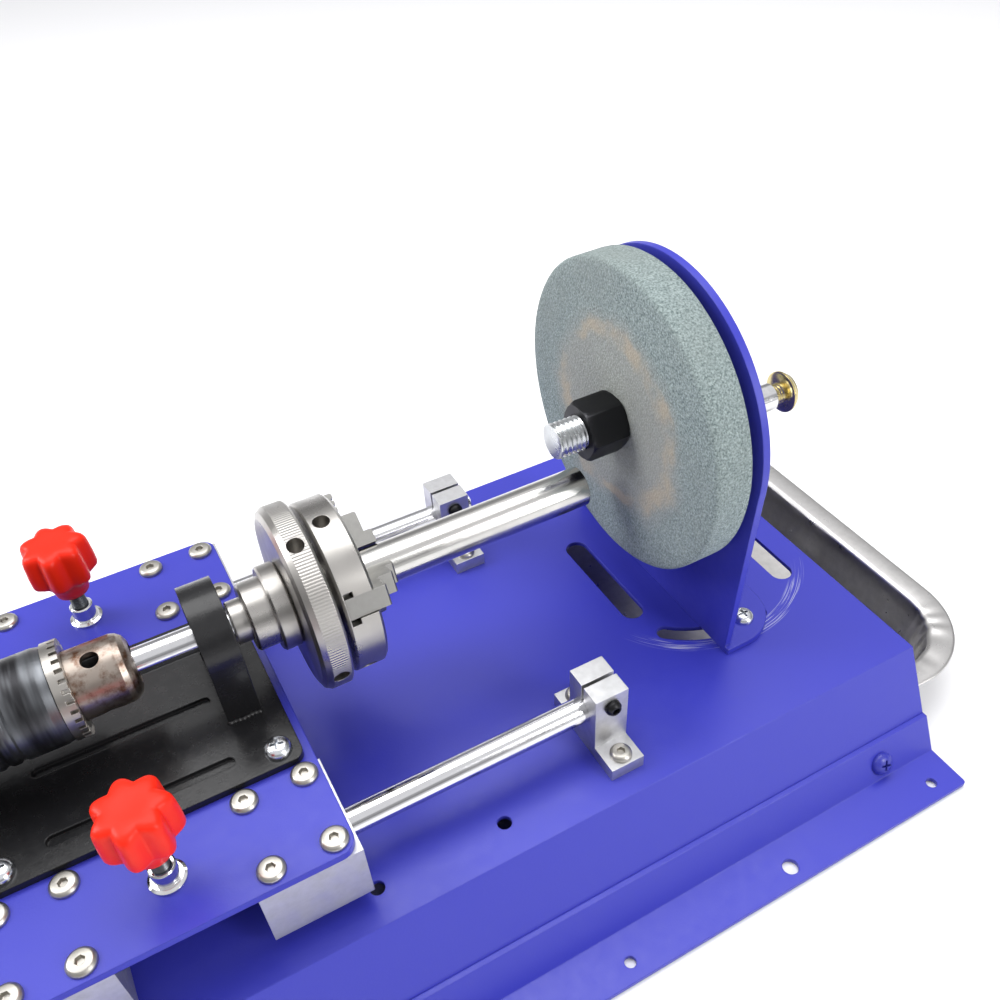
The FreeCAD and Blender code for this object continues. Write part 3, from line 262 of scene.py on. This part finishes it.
def turned_metal(name, color, roughness, grain=2600.0, axis_stretch=(1.0, 0.02, 0.02), depth=0.000008):
    """Machined metal whose tool marks run round the X axis."""
    finish = Finish(name, color, 1.0, roughness, edge=0.00035)
    marks = finish.noise(grain, detail=3, stretch=axis_stretch)
    smudge = finish.noise(70.0, detail=4)
    finish.paint(finish.mix(finish.ramp(smudge, 0.35, 0.75), color, tuple(0.86 * part for part in color)))
    finish.vary_roughness(smudge, roughness - 0.05, roughness + 0.09)
    finish.bump(marks, depth, 0.5)
    return finish


def plain_metal(name, color, roughness, grain=900.0, depth=0.00001):
    """Plated or ground metal with faint unevenness and handling marks."""
    finish = Finish(name, color, 1.0, roughness, edge=0.00025)
    smudge = finish.noise(160.0, detail=5)
    finish.paint(finish.mix(finish.ramp(smudge, 0.35, 0.7), color, tuple(0.8 * part for part in color)))
    finish.vary_roughness(smudge, roughness - 0.04, roughness + 0.1)
    finish.bump(finish.noise(grain, detail=3), depth, 0.5)
    return finish


def scuffs(finish, color):
    """Pale curved scratches where the bracket has been swung about its pivot."""
    across = finish.math("SUBTRACT", finish.coordinate("X"), BRACKET_PIVOT)
    along = finish.coordinate("Y")
    reach = finish.distance(across, along)
    sweep = finish.math("ARCTAN2", along, across)
    track = finish.node("ShaderNodeCombineXYZ")
    finish.link(finish.math("MULTIPLY", reach, 2600.0), track.inputs["X"])
    finish.link(finish.math("MULTIPLY", sweep, 2.5), track.inputs["Y"])
    lines = finish.node("ShaderNodeTexNoise")
    lines.inputs["Scale"].default_value = 1.0
    lines.inputs["Detail"].default_value = 3.0
    finish.link(track.outputs["Vector"], lines.inputs["Vector"])
    worn = finish.ramp(lines.outputs["Fac"], 0.54, 0.62)
    track_width = finish.between(reach, 0.0515, 0.0555, 0.0015)
    band = finish.math("MULTIPLY", track_width, finish.ramp(along, -0.028, -0.04))
    level = finish.between(finish.coordinate("Z"), 0.0448, 0.04501, 0.00004)
    amount = finish.math("MULTIPLY", finish.math("MULTIPLY", worn, band), finish.math("MULTIPLY", level, 0.8))
    finish.paint(finish.mix(amount, color, (0.45, 0.46, 0.62)))


BLUE = (0.036, 0.04, 0.40)


def make_materials():
    scuffs(powder_coat("blue_coat", BLUE, 0.36), BLUE)
    powder_coat("blue_screw", (0.03, 0.034, 0.3), 0.3)
    powder_coat("black_coat", (0.009, 0.009, 0.01), 0.24)
    turned_metal("rod_steel", (0.74, 0.74, 0.76), 0.12)
    milled = plain_metal("silver_alloy", (0.60, 0.60, 0.61), 0.42)
    milled.bump(milled.noise(700.0, detail=2, stretch=(0.05, 1, 1)), 0.00002, 0.4)
    plain_metal("black_screw", (0.03, 0.03, 0.032), 0.35)
    plain_metal("stainless_screw", (0.50, 0.48, 0.44), 0.34)
    plain_metal("zinc_screw", (0.72, 0.74, 0.77), 0.2)
    tray = plain_metal("tray_steel", (0.60, 0.59, 0.58), 0.30)
    tray.bump(tray.noise(420.0, detail=3, stretch=(1, 0.15, 1)), 0.00002, 0.4)
    plain_metal("bearing_steel", (0.6, 0.6, 0.62), 0.2)
    plain_metal("motor_steel", (0.4, 0.4, 0.41), 0.3)
    plastic = Finish("black_plastic", (0.018, 0.018, 0.018), 0.0, 0.5)
    plastic.bump(plastic.noise(1300.0), 0.00004, 0.4)
    plain_metal("rotor_iron", (0.2, 0.2, 0.2), 0.5)
    rusty = turned_metal("worn_steel", (0.33, 0.29, 0.26), 0.32)
    rust = rusty.ramp(rusty.noise(190.0, detail=7, rough=0.65), 0.46, 0.66)
    rusty.paint(rusty.mix(rust, (0.36, 0.31, 0.27), (0.13, 0.062, 0.035)))
    blued = turned_metal("black_oxide", (0.03, 0.03, 0.032), 0.36)
    # Painted sheen: lighter blue-grey bands round the X axis, painted where X is below -0.04 m (the
    # drill-chuck sleeve) in place of the sleeve's reflections.
    bands = blued.ramp(blued.noise(150.0, detail=3, stretch=(1, 0.12, 0.12)), 0.38, 0.64)
    painted_sheen_bands = blued.math("MULTIPLY", bands, blued.ramp(blued.coordinate("X"), -0.04, -0.05))
    blued.paint(blued.mix(painted_sheen_bands, (0.035, 0.035, 0.038), (0.19, 0.2, 0.215)))
    turned_metal("gear_steel", (0.42, 0.40, 0.37), 0.3)
    turned_metal("chuck_steel", (0.42, 0.405, 0.385), 0.28)
    knurled_steel()
    plain_metal("jaw_steel", (0.34, 0.335, 0.32), 0.34)
    turned_metal("tube_steel", (0.6, 0.59, 0.57), 0.17, axis_stretch=(0.02, 1, 1))
    plain_metal("chrome_trim", (0.78, 0.78, 0.79), 0.09)
    red = Finish("red_plastic", (0.74, 0.02, 0.006), 0.0, 0.35, edge=0.0005)
    red.bump(red.noise(320.0), 0.00003, 0.3).set("Specular IOR Level", 0.2)
    plain_metal("arbor_steel", (0.62, 0.64, 0.65), 0.24)
    plain_metal("yellow_zinc", (0.62, 0.52, 0.25), 0.2)
    green_stone()


def knurled_steel():
    """Ground ring whose rim carries a band of straight knurling."""
    finish = turned_metal("knurled_steel", (0.42, 0.405, 0.385), 0.3)
    across = finish.coordinate("Y")
    rise = finish.math("SUBTRACT", finish.coordinate("Z"), SPINDLE_HEIGHT)
    turn = finish.math("ARCTAN2", rise, across)
    teeth = finish.math("SINE", finish.math("MULTIPLY", turn, 190.0))
    band = finish.between(finish.coordinate("X"), 0.0145, 0.0209, 0.0002)
    rim = finish.ramp(finish.distance(across, rise), 0.0341, 0.0344)
    height = finish.math("MULTIPLY", teeth, finish.math("MULTIPLY", band, rim))
    finish.bump(height, 0.00006, 1.0)


def green_stone():
    """Bonded green abrasive: sharp grains, open pores, and a tan stain round the hub."""
    finish = Finish("green_stone", (0.25, 0.31, 0.31), 0.0, 0.88, edge=0.0008)
    grains = finish.node("ShaderNodeTexVoronoi")
    grains.inputs["Scale"].default_value = 1200.0
    finish.link(finish.place, grains.inputs["Vector"])
    cloud = finish.noise(26.0, detail=5)
    speck = finish.noise(1300.0, detail=3)
    body = finish.mix(finish.ramp(speck, 0.32, 0.68), (0.11, 0.145, 0.145), (0.33, 0.39, 0.385))
    body = finish.mix(finish.math("MULTIPLY", finish.ramp(cloud, 0.4, 0.7), 0.5), body, (0.21, 0.235, 0.225))
    above_arbor = finish.math("SUBTRACT", finish.coordinate("Z"), ARBOR_HEIGHT)
    reach = finish.distance(finish.coordinate("Y"), above_arbor)
    face = finish.ramp(finish.coordinate("X"), 0.1496, 0.1492)
    drift = finish.math("MULTIPLY", finish.math("SUBTRACT", finish.noise(38.0, detail=6), 0.5), 0.026)
    ragged = finish.math("ADD", reach, drift)
    inner = finish.math("MULTIPLY", finish.ramp(ragged, 0.046, 0.036), face)
    body = finish.mix(finish.math("MULTIPLY", inner, 0.45), body, (0.32, 0.30, 0.27))
    patches = finish.ramp(finish.noise(55.0, detail=3), 0.42, 0.6)
    rim_of_stain = finish.math("MULTIPLY", finish.between(ragged, 0.0345, 0.0385, 0.003), face)
    tide = finish.math("MULTIPLY", finish.math("MULTIPLY", rim_of_stain, patches), 0.62)
    finish.paint(finish.mix(tide, body, (0.40, 0.335, 0.245)))
    finish.bump(grains.outputs["Distance"], 0.00035, 0.8)
    finish.bump(speck, 0.00025, 0.6)
    finish.set("Specular IOR Level", 0.3)


make_materials()

slot_of = {entry["node"]: entry["material_slot"] for entry in frame["record"]["subparts"]}
for node_name, cad_object in nodes.items():
    cad_object.data.materials.clear()
    cad_object.data.materials.append(MATERIALS[slot_of[node_name]])

# ---------------------------------------------------------------- mesh helpers

MM = 0.001


def piece(name, points, faces, slot, body, covers=(), sharp=32.0):
    """Mesh in millimetres, smoothed except at sharp edges, that rides on one body."""
    mesh = bpy.data.meshes.new(name)
    mesh.from_pydata((np.asarray(points) * MM).tolist(), [], faces)
    work = bmesh.new()
    work.from_mesh(mesh)
    bmesh.ops.recalc_face_normals(work, faces=work.faces)
    work.to_mesh(mesh)
    work.free()
    mesh.polygons.foreach_set("use_smooth", [True] * len(mesh.polygons))
    mesh.set_sharp_from_angle(angle=math.radians(sharp))
    mesh.materials.append(MATERIALS[slot])
    made = bpy.data.objects.new(name, mesh)
    scene.collection.objects.link(made)
    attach(made, body)
    if covers:
        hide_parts(*covers)
    return made


def skin(loops, ends=True):
    """Surface through closed loops of equally many points, with a face over each end."""
    count = len(loops[0])
    faces = []
    for row in range(len(loops) - 1):
        low = row * count
        for step in range(count):
            ahead = (step + 1) % count
            faces.append((low + step, low + ahead, low + count + ahead, low + count + step))
    if ends:
        faces.append(tuple(reversed(range(count))))
        faces.append(tuple(range(len(loops) * count - count, len(loops) * count)))
    return np.concatenate(loops), faces


def angles(count):
    return np.linspace(0, 2 * math.pi, count, endpoint=False)


def loop(radius, along, count):
    """Closed loop round the local Z axis. Radius is a number or one number per angle."""
    turn = angles(count)
    return np.stack([radius * np.cos(turn), radius * np.sin(turn), np.full(count, along)], axis=1)


def hexagon(flats, count):
    """Distance from the centre to a hexagon's outline at each angle."""
    within = np.mod(angles(count), math.pi / 3) - math.pi / 6
    return flats / 2 / np.cos(within)


def cross(reach, width, count):
    """Distance from the centre to a plus-shaped outline at each angle."""
    within = np.abs(np.mod(angles(count) + math.pi / 4, math.pi / 2) - math.pi / 4)
    side = width / 2 / np.maximum(np.sin(within), 0.001)
    return np.minimum(reach / np.cos(within), np.maximum(side, width / 2 * 1.41))


ALONG_X = Matrix(((0, 0, 1), (1, 0, 0), (0, 1, 0))).to_4x4()


def moved(points, matrix):
    turn = np.array(matrix.to_3x3())
    shift = np.array(matrix.translation)
    return np.asarray(points) @ turn.T + shift


def on_x(points, across, height):
    """Local Z laid along X, round the line at that Y and Z."""
    return moved(points, Matrix.Translation((0, across, height)) @ ALONG_X)


def together(parts):
    """One list of points and faces from several."""
    points, faces, start = [], [], 0
    for some_points, some_faces in parts:
        points.append(np.asarray(some_points))
        faces += [tuple(start + corner for corner in face) for face in some_faces]
        start += len(some_points)
    return np.concatenate(points), faces


# ---------------------------------------------------------------- screws

SCREW_COUNT = 96
HEX_RECESS = hexagon(2.9, SCREW_COUNT)
CROSS_RECESS = cross(2.3, 0.95, SCREW_COUNT)


def screw(profile, recess, depth, shank_radius, shank_length):
    """Screw along Z with its seat at zero, a shaped recess and a shank below."""
    top = profile[-1][1]
    loops = [loop(shank_radius, -shank_length, SCREW_COUNT), loop(shank_radius, 0, SCREW_COUNT)]
    loops += [loop(radius, height, SCREW_COUNT) for radius, height in profile]
    loops += [loop(recess * 1.04, top + 0.02, SCREW_COUNT), loop(recess, top - 0.1, SCREW_COUNT),
              loop(recess * 0.8, top - depth, SCREW_COUNT)]
    return skin(loops)


def cap_profile(radius, height):
    """Low flat cap with a broken edge."""
    return [(radius, 0), (radius, 0.42 * height), (radius - 0.12, 0.58 * height),
            (radius - 0.95, 0.95 * height), (radius - 1.2, height)]


def dome_profile(radius, height):
    """Rounded pan head."""
    return [(radius, 0), (radius, 0.2 * height), (0.95 * radius, 0.48 * height),
            (0.84 * radius, 0.72 * height), (0.68 * radius, 0.89 * height), (0.54 * radius, height)]


def set_of_screws(name, shape, matrices, slot, body, extra=()):
    parts = [(moved(shape[0], matrix), shape[1]) for matrix in matrices]
    points, faces = together(parts + list(extra))
    return piece(name + "_fine", points, faces, slot, body, covers=[name])


def turned_by(index):
    """Spin that differs from screw to screw, as hands leave them."""
    return Matrix.Rotation(1.7 * index * index + 0.4 * index, 4, "Z")


CARRIAGE_X = -56.5
ROD_Y = 64.25
COVER_TOP = 45.0
SUPPORTS_X = (102, -198)
PIVOT_X = 186.3
ARBOR_Z = 137.2
SPINDLE_Z = 110.8


def make_screws():
    shape = screw(cap_profile(4.75, 2.1), HEX_RECESS, 1.5, 2.05, 14)
    matrices = []
    for end in (-1, 1):
        for side in (-1, 1):
            for across in (-10.5, 10.5):
                for along in (-14, 14):
                    spot = (CARRIAGE_X + end * 39.5 + across, side * ROD_Y + along, 81)
                    matrices.append(Matrix.Translation(spot) @ turned_by(len(matrices)))
    set_of_screws("block_screws", shape, matrices, "stainless_screw", "carriage")

    shape = screw(dome_profile(4.8, 3.2), CROSS_RECESS, 2.0, 2.4, 8)
    spots = [(CARRIAGE_X + end * 45.5, row, 84) for end in (-1, 1) for row in (-38, 28)]
    matrices = [Matrix.Translation(spot) @ turned_by(index) for index, spot in enumerate(spots)]
    set_of_screws("bracket_screws", shape, matrices, "zinc_screw", "carriage")

    shape = screw(dome_profile(5.0, 3.0), CROSS_RECESS, 1.8, 2.1, 7)
    matrices = []
    for side in (-1, 1):
        tilt = Matrix.Rotation(-side * math.radians(63), 4, "X")
        across = side * (94 + (COVER_TOP - 8.3) * 0.51 + 2.3)
        for x in (-210, 0, 210):
            matrices.append(Matrix.Translation((x, across, 8.3)) @ tilt @ turned_by(len(matrices)))
    set_of_screws("rail_screws", shape, matrices, "blue_screw", "base")

    shape = screw(dome_profile(4.7, 2.9), CROSS_RECESS, 1.8, 2.9, 12)
    spots = [(PIVOT_X, y, 48.1) for y in (-47, 0, 47)]
    matrices = [Matrix.Translation(spot) @ turned_by(index) for index, spot in enumerate(spots)]
    nut_points, nut_faces = nut(9.4, 2.92, 4.5)
    nuts = [(moved(nut_points, Matrix.Translation((x, y, 38.4))), nut_faces) for x, y, _ in spots]
    set_of_screws("bracket_foot_screws", shape, matrices, "zinc_screw", "bracket", nuts)

    shape = screw(cap_profile(4.2, 2.2), HEX_RECESS, 1.5, 2.5, 14)
    spots = [(x, side * ROD_Y + offset, 51)
             for x in SUPPORTS_X for side in (-1, 1) for offset in (-16, 16)]
    matrices = [Matrix.Translation(spot) @ turned_by(index) for index, spot in enumerate(spots)]
    nut_points, nut_faces = nut(7.6, 2.52, 4.0)
    nuts = [(moved(nut_points, Matrix.Translation((x, y, 39))), nut_faces) for x, y, _ in spots]
    set_of_screws("support_base_screws", shape, matrices, "stainless_screw", "base", nuts)

    shape = screw(cap_profile(3.2, 3.0), HEX_RECESS, 1.9, 2.0, 17)
    facing = Matrix.Rotation(math.radians(90), 4, "X")
    matrices = [Matrix.Translation((x, side * ROD_Y - 9, 72)) @ facing
                for x in SUPPORTS_X for side in (-1, 1)]
    set_of_screws("support_clamp_screws", shape, matrices, "black_screw", "base")


def nut(flats, bore, height):
    """Hexagon nut standing on Z = 0, its corners turned down at both ends."""
    outline = hexagon(flats, SCREW_COUNT)
    trimmed = np.minimum(outline, flats / 2 * 1.02)
    rows = [(bore, 0), (trimmed, 0), (outline, 0.6), (outline, height - 0.6), (trimmed, height),
            (bore, height), (bore, 0)]
    return skin([loop(radius, along, SCREW_COUNT) for radius, along in rows], ends=False)


# ---------------------------------------------------------------- threads, knobs and grips

def thread(radius, pitch, start, end, depth, count=64):
    """Helical ridges along Z, running out at both ends."""
    rows = int((end - start) / pitch * 10)
    loops = []
    for along in np.linspace(start, end, rows):
        phase = np.mod(along / pitch - angles(count) / (2 * math.pi), 1)
        run_out = min(1.0, (end - along) / pitch + 0.25, (along - start) / pitch + 0.25)
        loops.append(loop(radius - depth * np.abs(2 * phase - 1) * run_out, along, count))
    return loops


def make_knob(side_name, side):
    count = 168
    lobes = (0.5 + 0.5 * np.cos(7 * angles(count))) ** 0.75
    rows = [(97.0, 3.05, 0), (97.0, 5.7, 0), (97.4, 6.2, 0), (100, 6.7, 0), (102.5, 7.4, 0.2),
            (104.4, 8.3, 0.9), (105.6, 9.2, 1.9), (106.5, 9.75, 2.5), (107.6, 9.95, 2.65),
            (112, 9.9, 2.7), (117.5, 9.6, 2.7),
            (119.4, 9.4, 2.65), (120.6, 9.0, 2.45), (121.4, 8.3, 2.1), (121.85, 7.4, 1.5), (122.0, 6.2, 0.9),
            (121.95, 4.5, 0.2), (121.8, 2.0, 0)]
    loops = [loop(base + reach * lobes, height, count) for height, base, reach in rows]
    points, faces = skin(loops)
    turn = Matrix.Translation((CARRIAGE_X, side * ROD_Y, 0)) @ Matrix.Rotation(0.35 + 0.5 * side, 4, "Z")
    piece(side_name + "_knob_star", moved(points, turn), faces, "red_plastic", side_name + "_knob",
          covers=[side_name + "_clamp_knob"], sharp=50)
    points, faces = skin(thread(3.0, 1.0, 70.4, 108.8, 0.5))
    piece(side_name + "_stud_thread", moved(points, Matrix.Translation((CARRIAGE_X, side * ROD_Y, 0))), faces,
          "black_oxide", side_name + "_stud", covers=[side_name + "_clamp_stud"])


def make_arbor():
    loops = [loop(5.6, 121.0, 64)] + thread(7.0, 2.0, 121.4, 149.0, 0.95)
    loops += [loop(radius, along, 64) for along, radius in
              ((149.5, 7), (165, 7), (165, 19.6), (165.4, 20), (168.8, 20), (169.2, 19.6), (169.2, 7),
               (191.2, 7), (191.6, 6.6))]
    points, faces = skin(loops)
    piece("arbor_thread", on_x(points, 0, ARBOR_Z), faces, "arbor_steel", "wheel", covers=["wheel_arbor"])

    outline = hexagon(21, SCREW_COUNT)
    trimmed = np.minimum(outline, 10.75)
    rows = [(7.02, 133), (trimmed, 133), (np.minimum(outline, 11.6), 133.6), (outline, 134.7),
            (outline, 147.3), (np.minimum(outline, 11.6), 148.4), (trimmed, 149), (7.02, 149), (7.02, 133)]
    points, faces = skin([loop(radius, along, SCREW_COUNT) for radius, along in rows], ends=False)
    piece("wheel_nut_fine", on_x(points, 0, ARBOR_Z), faces, "black_oxide", "wheel", covers=["wheel_nut"])

    loops = [loop(3.6, 183.7, 64), loop(4, 184.1, 64), loop(4, 208.0, 64)]
    loops += thread(4.0, 1.25, 208.4, 213.0, 0.6)
    loops += [loop(radius, along, 64) for along, radius in
              ((213.1, 4.6), (213.2, 7.6), (213.6, 8.3), (214.4, 8.3), (215.2, 7.7), (215.9, 7.1),
               (216.4, 7.0), (216.7, 6.4), (216.4, 5.4), (215.9, 4.2), (215.7, 2.4))]
    points, faces = skin(loops)
    piece("crank_bolt_fine", on_x(points, -19.75, ARBOR_Z), faces, "yellow_zinc", "wheel",
          covers=["crank_bolt"])


def make_wheel():
    """Stone disc with a worn, slightly uneven rim and faces."""
    count = 360
    turn = angles(count)
    grain = np.random.default_rng(4)
    rows = [(7.05, 149), (21, 149), (40, 149), (56, 149), (60.6, 149.05), (61.7, 149.35), (62.3, 150.1),
            (62.4, 152), (62.4, 157), (62.4, 162), (62.3, 163.9), (61.7, 164.65), (60.6, 164.95), (56, 165),
            (40, 165), (21, 165), (7.05, 165)]
    loops = []
    for radius, along in rows:
        wear = 0.05 * np.sin(3 * turn + along) + 0.03 * np.sin(11 * turn)
        rough = wear + grain.normal(0, 0.02, count) if radius > 59 else 0
        loops.append(loop(radius + rough, along, count))
    loops.append(loops[0])
    points, faces = skin(loops, ends=False)
    piece("stone", on_x(points, 0, ARBOR_Z), faces, "green_stone", "wheel",
          covers=["grinding_wheel"], sharp=60)


# ---------------------------------------------------------------- drip tray

def tray_loop(inset, height, wrinkle):
    """One level of the tray: a rounded rectangle drawn inwards, wavy at its corners."""
    middle_x, half_x, half_y, corner = 153.5, 134.5, 100.0, 40.0
    radius = corner - inset
    centres = [(half_x - corner, half_y - corner), (corner - half_x, half_y - corner),
               (corner - half_x, corner - half_y), (half_x - corner, corner - half_y)]
    points = []
    for quarter, (x, y) in enumerate(centres):
        for step in range(41):
            fraction = step / 40
            angle = (quarter + fraction) * math.pi / 2
            fade = math.sin(math.pi * fraction)
            ripple = wrinkle * fade * math.sin(34 * fraction + 2.1 * math.sin(9 * fraction) + quarter)
            reach = radius + 0.35 * ripple
            points.append((middle_x + x + reach * math.cos(angle), y + reach * math.sin(angle),
                           height + 0.3 * ripple))
        ahead = centres[(quarter + 1) % 4]
        angle = (quarter + 1) * math.pi / 2
        for step in range(1, 16):
            fraction = step / 16
            points.append((middle_x + x + (ahead[0] - x) * fraction + radius * math.cos(angle),
                           y + (ahead[1] - y) * fraction + radius * math.sin(angle), height))
    return np.array(points)


def make_tray():
    """Pressed tray with a rolled rim and small creases at its corners."""
    rows = [(16, 0, 0), (14.9, 3.6, 0.4), (11.0, 20.6, 0.7), (10.2, 21.6, 0.6), (9.2, 21.9, 0.4),
            (2.0, 21.9, 0.2), (0.9, 21.5, 0), (0.35, 21.6, 0), (0.1, 22.2, 0), (0.45, 22.8, 0),
            (1.4, 22.97, 0.1), (5.0, 22.75, 0.5),
            (9.2, 22.7, 0.8), (10.9, 22.3, 0.9), (11.9, 21.1, 1.0), (13.2, 15.6, 0.9), (15.0, 8.0, 0.6),
            (16.1, 3.6, 0.3), (17.1, 1.9, 0.1), (19.0, 1.05, 0), (22.0, 1.0, 0)]
    points, faces = skin([tray_loop(*row) for row in rows])
    piece("tray_pressing", points, faces, "tray_steel", "tray", covers=["drip_tray"], sharp=60)


# ---------------------------------------------------------------- lathe chuck jaws

def extruded(outline, half_width):
    """Outline in the X-Z plane given a width along Y."""
    count = len(outline)
    points = [(x, side * half_width, z) for side in (-1, 1) for x, z in outline]
    faces = [tuple(range(count)), tuple(range(2 * count - 1, count - 1, -1))]
    faces += [(step, (step + 1) % count, count + (step + 1) % count, count + step) for step in range(count)]
    return np.array(points, float), faces


def make_jaws():
    """Three stepped jaws with grooved steps, tongue and all."""
    outline = [(25.4, 8.2), (49, 8.2), (49, 12.8), (48.4, 13.4), (46, 13.4), (46, 21.0), (45.4, 21.6),
               (40.5, 21.6), (40.5, 30.6), (39.9, 31.2), (25.4, 31.2)]
    for first in (29.2, 26.6, 24.0):
        groove = [(40.5, first), (39.7, first - 0.3), (39.7, first - 1.0), (40.5, first - 1.3)]
        outline[8:8] = groove[::-1]
    tongue = [(25.4, 12.0), (28.2, 12.0), (28.2, 27.0), (25.4, 27.0)]
    for number, angle in enumerate((35, 155, 275), start=1):
        turn = Matrix.Translation((0, 0, SPINDLE_Z)) @ Matrix.Rotation(math.radians(angle - 90), 4, "X")
        parts = [extruded(outline, 3.8), extruded(tongue, 5.7)]
        points, faces = together([(moved(some, turn), corners) for some, corners in parts])
        piece("jaw_%d_stepped" % number, points, faces, "jaw_steel", "chuck_jaw_%d" % number,
              covers=["lathe_jaw_%d" % number])


def make_welds():
    """Small weld beads along the outer feet of the bearing arch."""
    parts = []
    for side in (-1, 1):
        for step in range(8):
            rows = [(1.15, 0), (1.1, 0.3), (0.85, 0.75), (0.45, 1.0)]
            points, faces = skin([loop(radius, height, 16) for radius, height in rows])
            wander = 0.18 * math.sin(5.0 * step + side)
            spot = (-21.8 + 1.5 * step, side * (18.9 + wander), 83.95)
            parts.append((moved(points, Matrix.Translation(spot)), faces))
    points, faces = together(parts)
    piece("weld_beads", points, faces, "black_coat", "carriage")


make_screws()
make_welds()
make_knob("front", -1)
make_knob("rear", 1)
make_arbor()
make_wheel()
make_tray()
make_jaws()
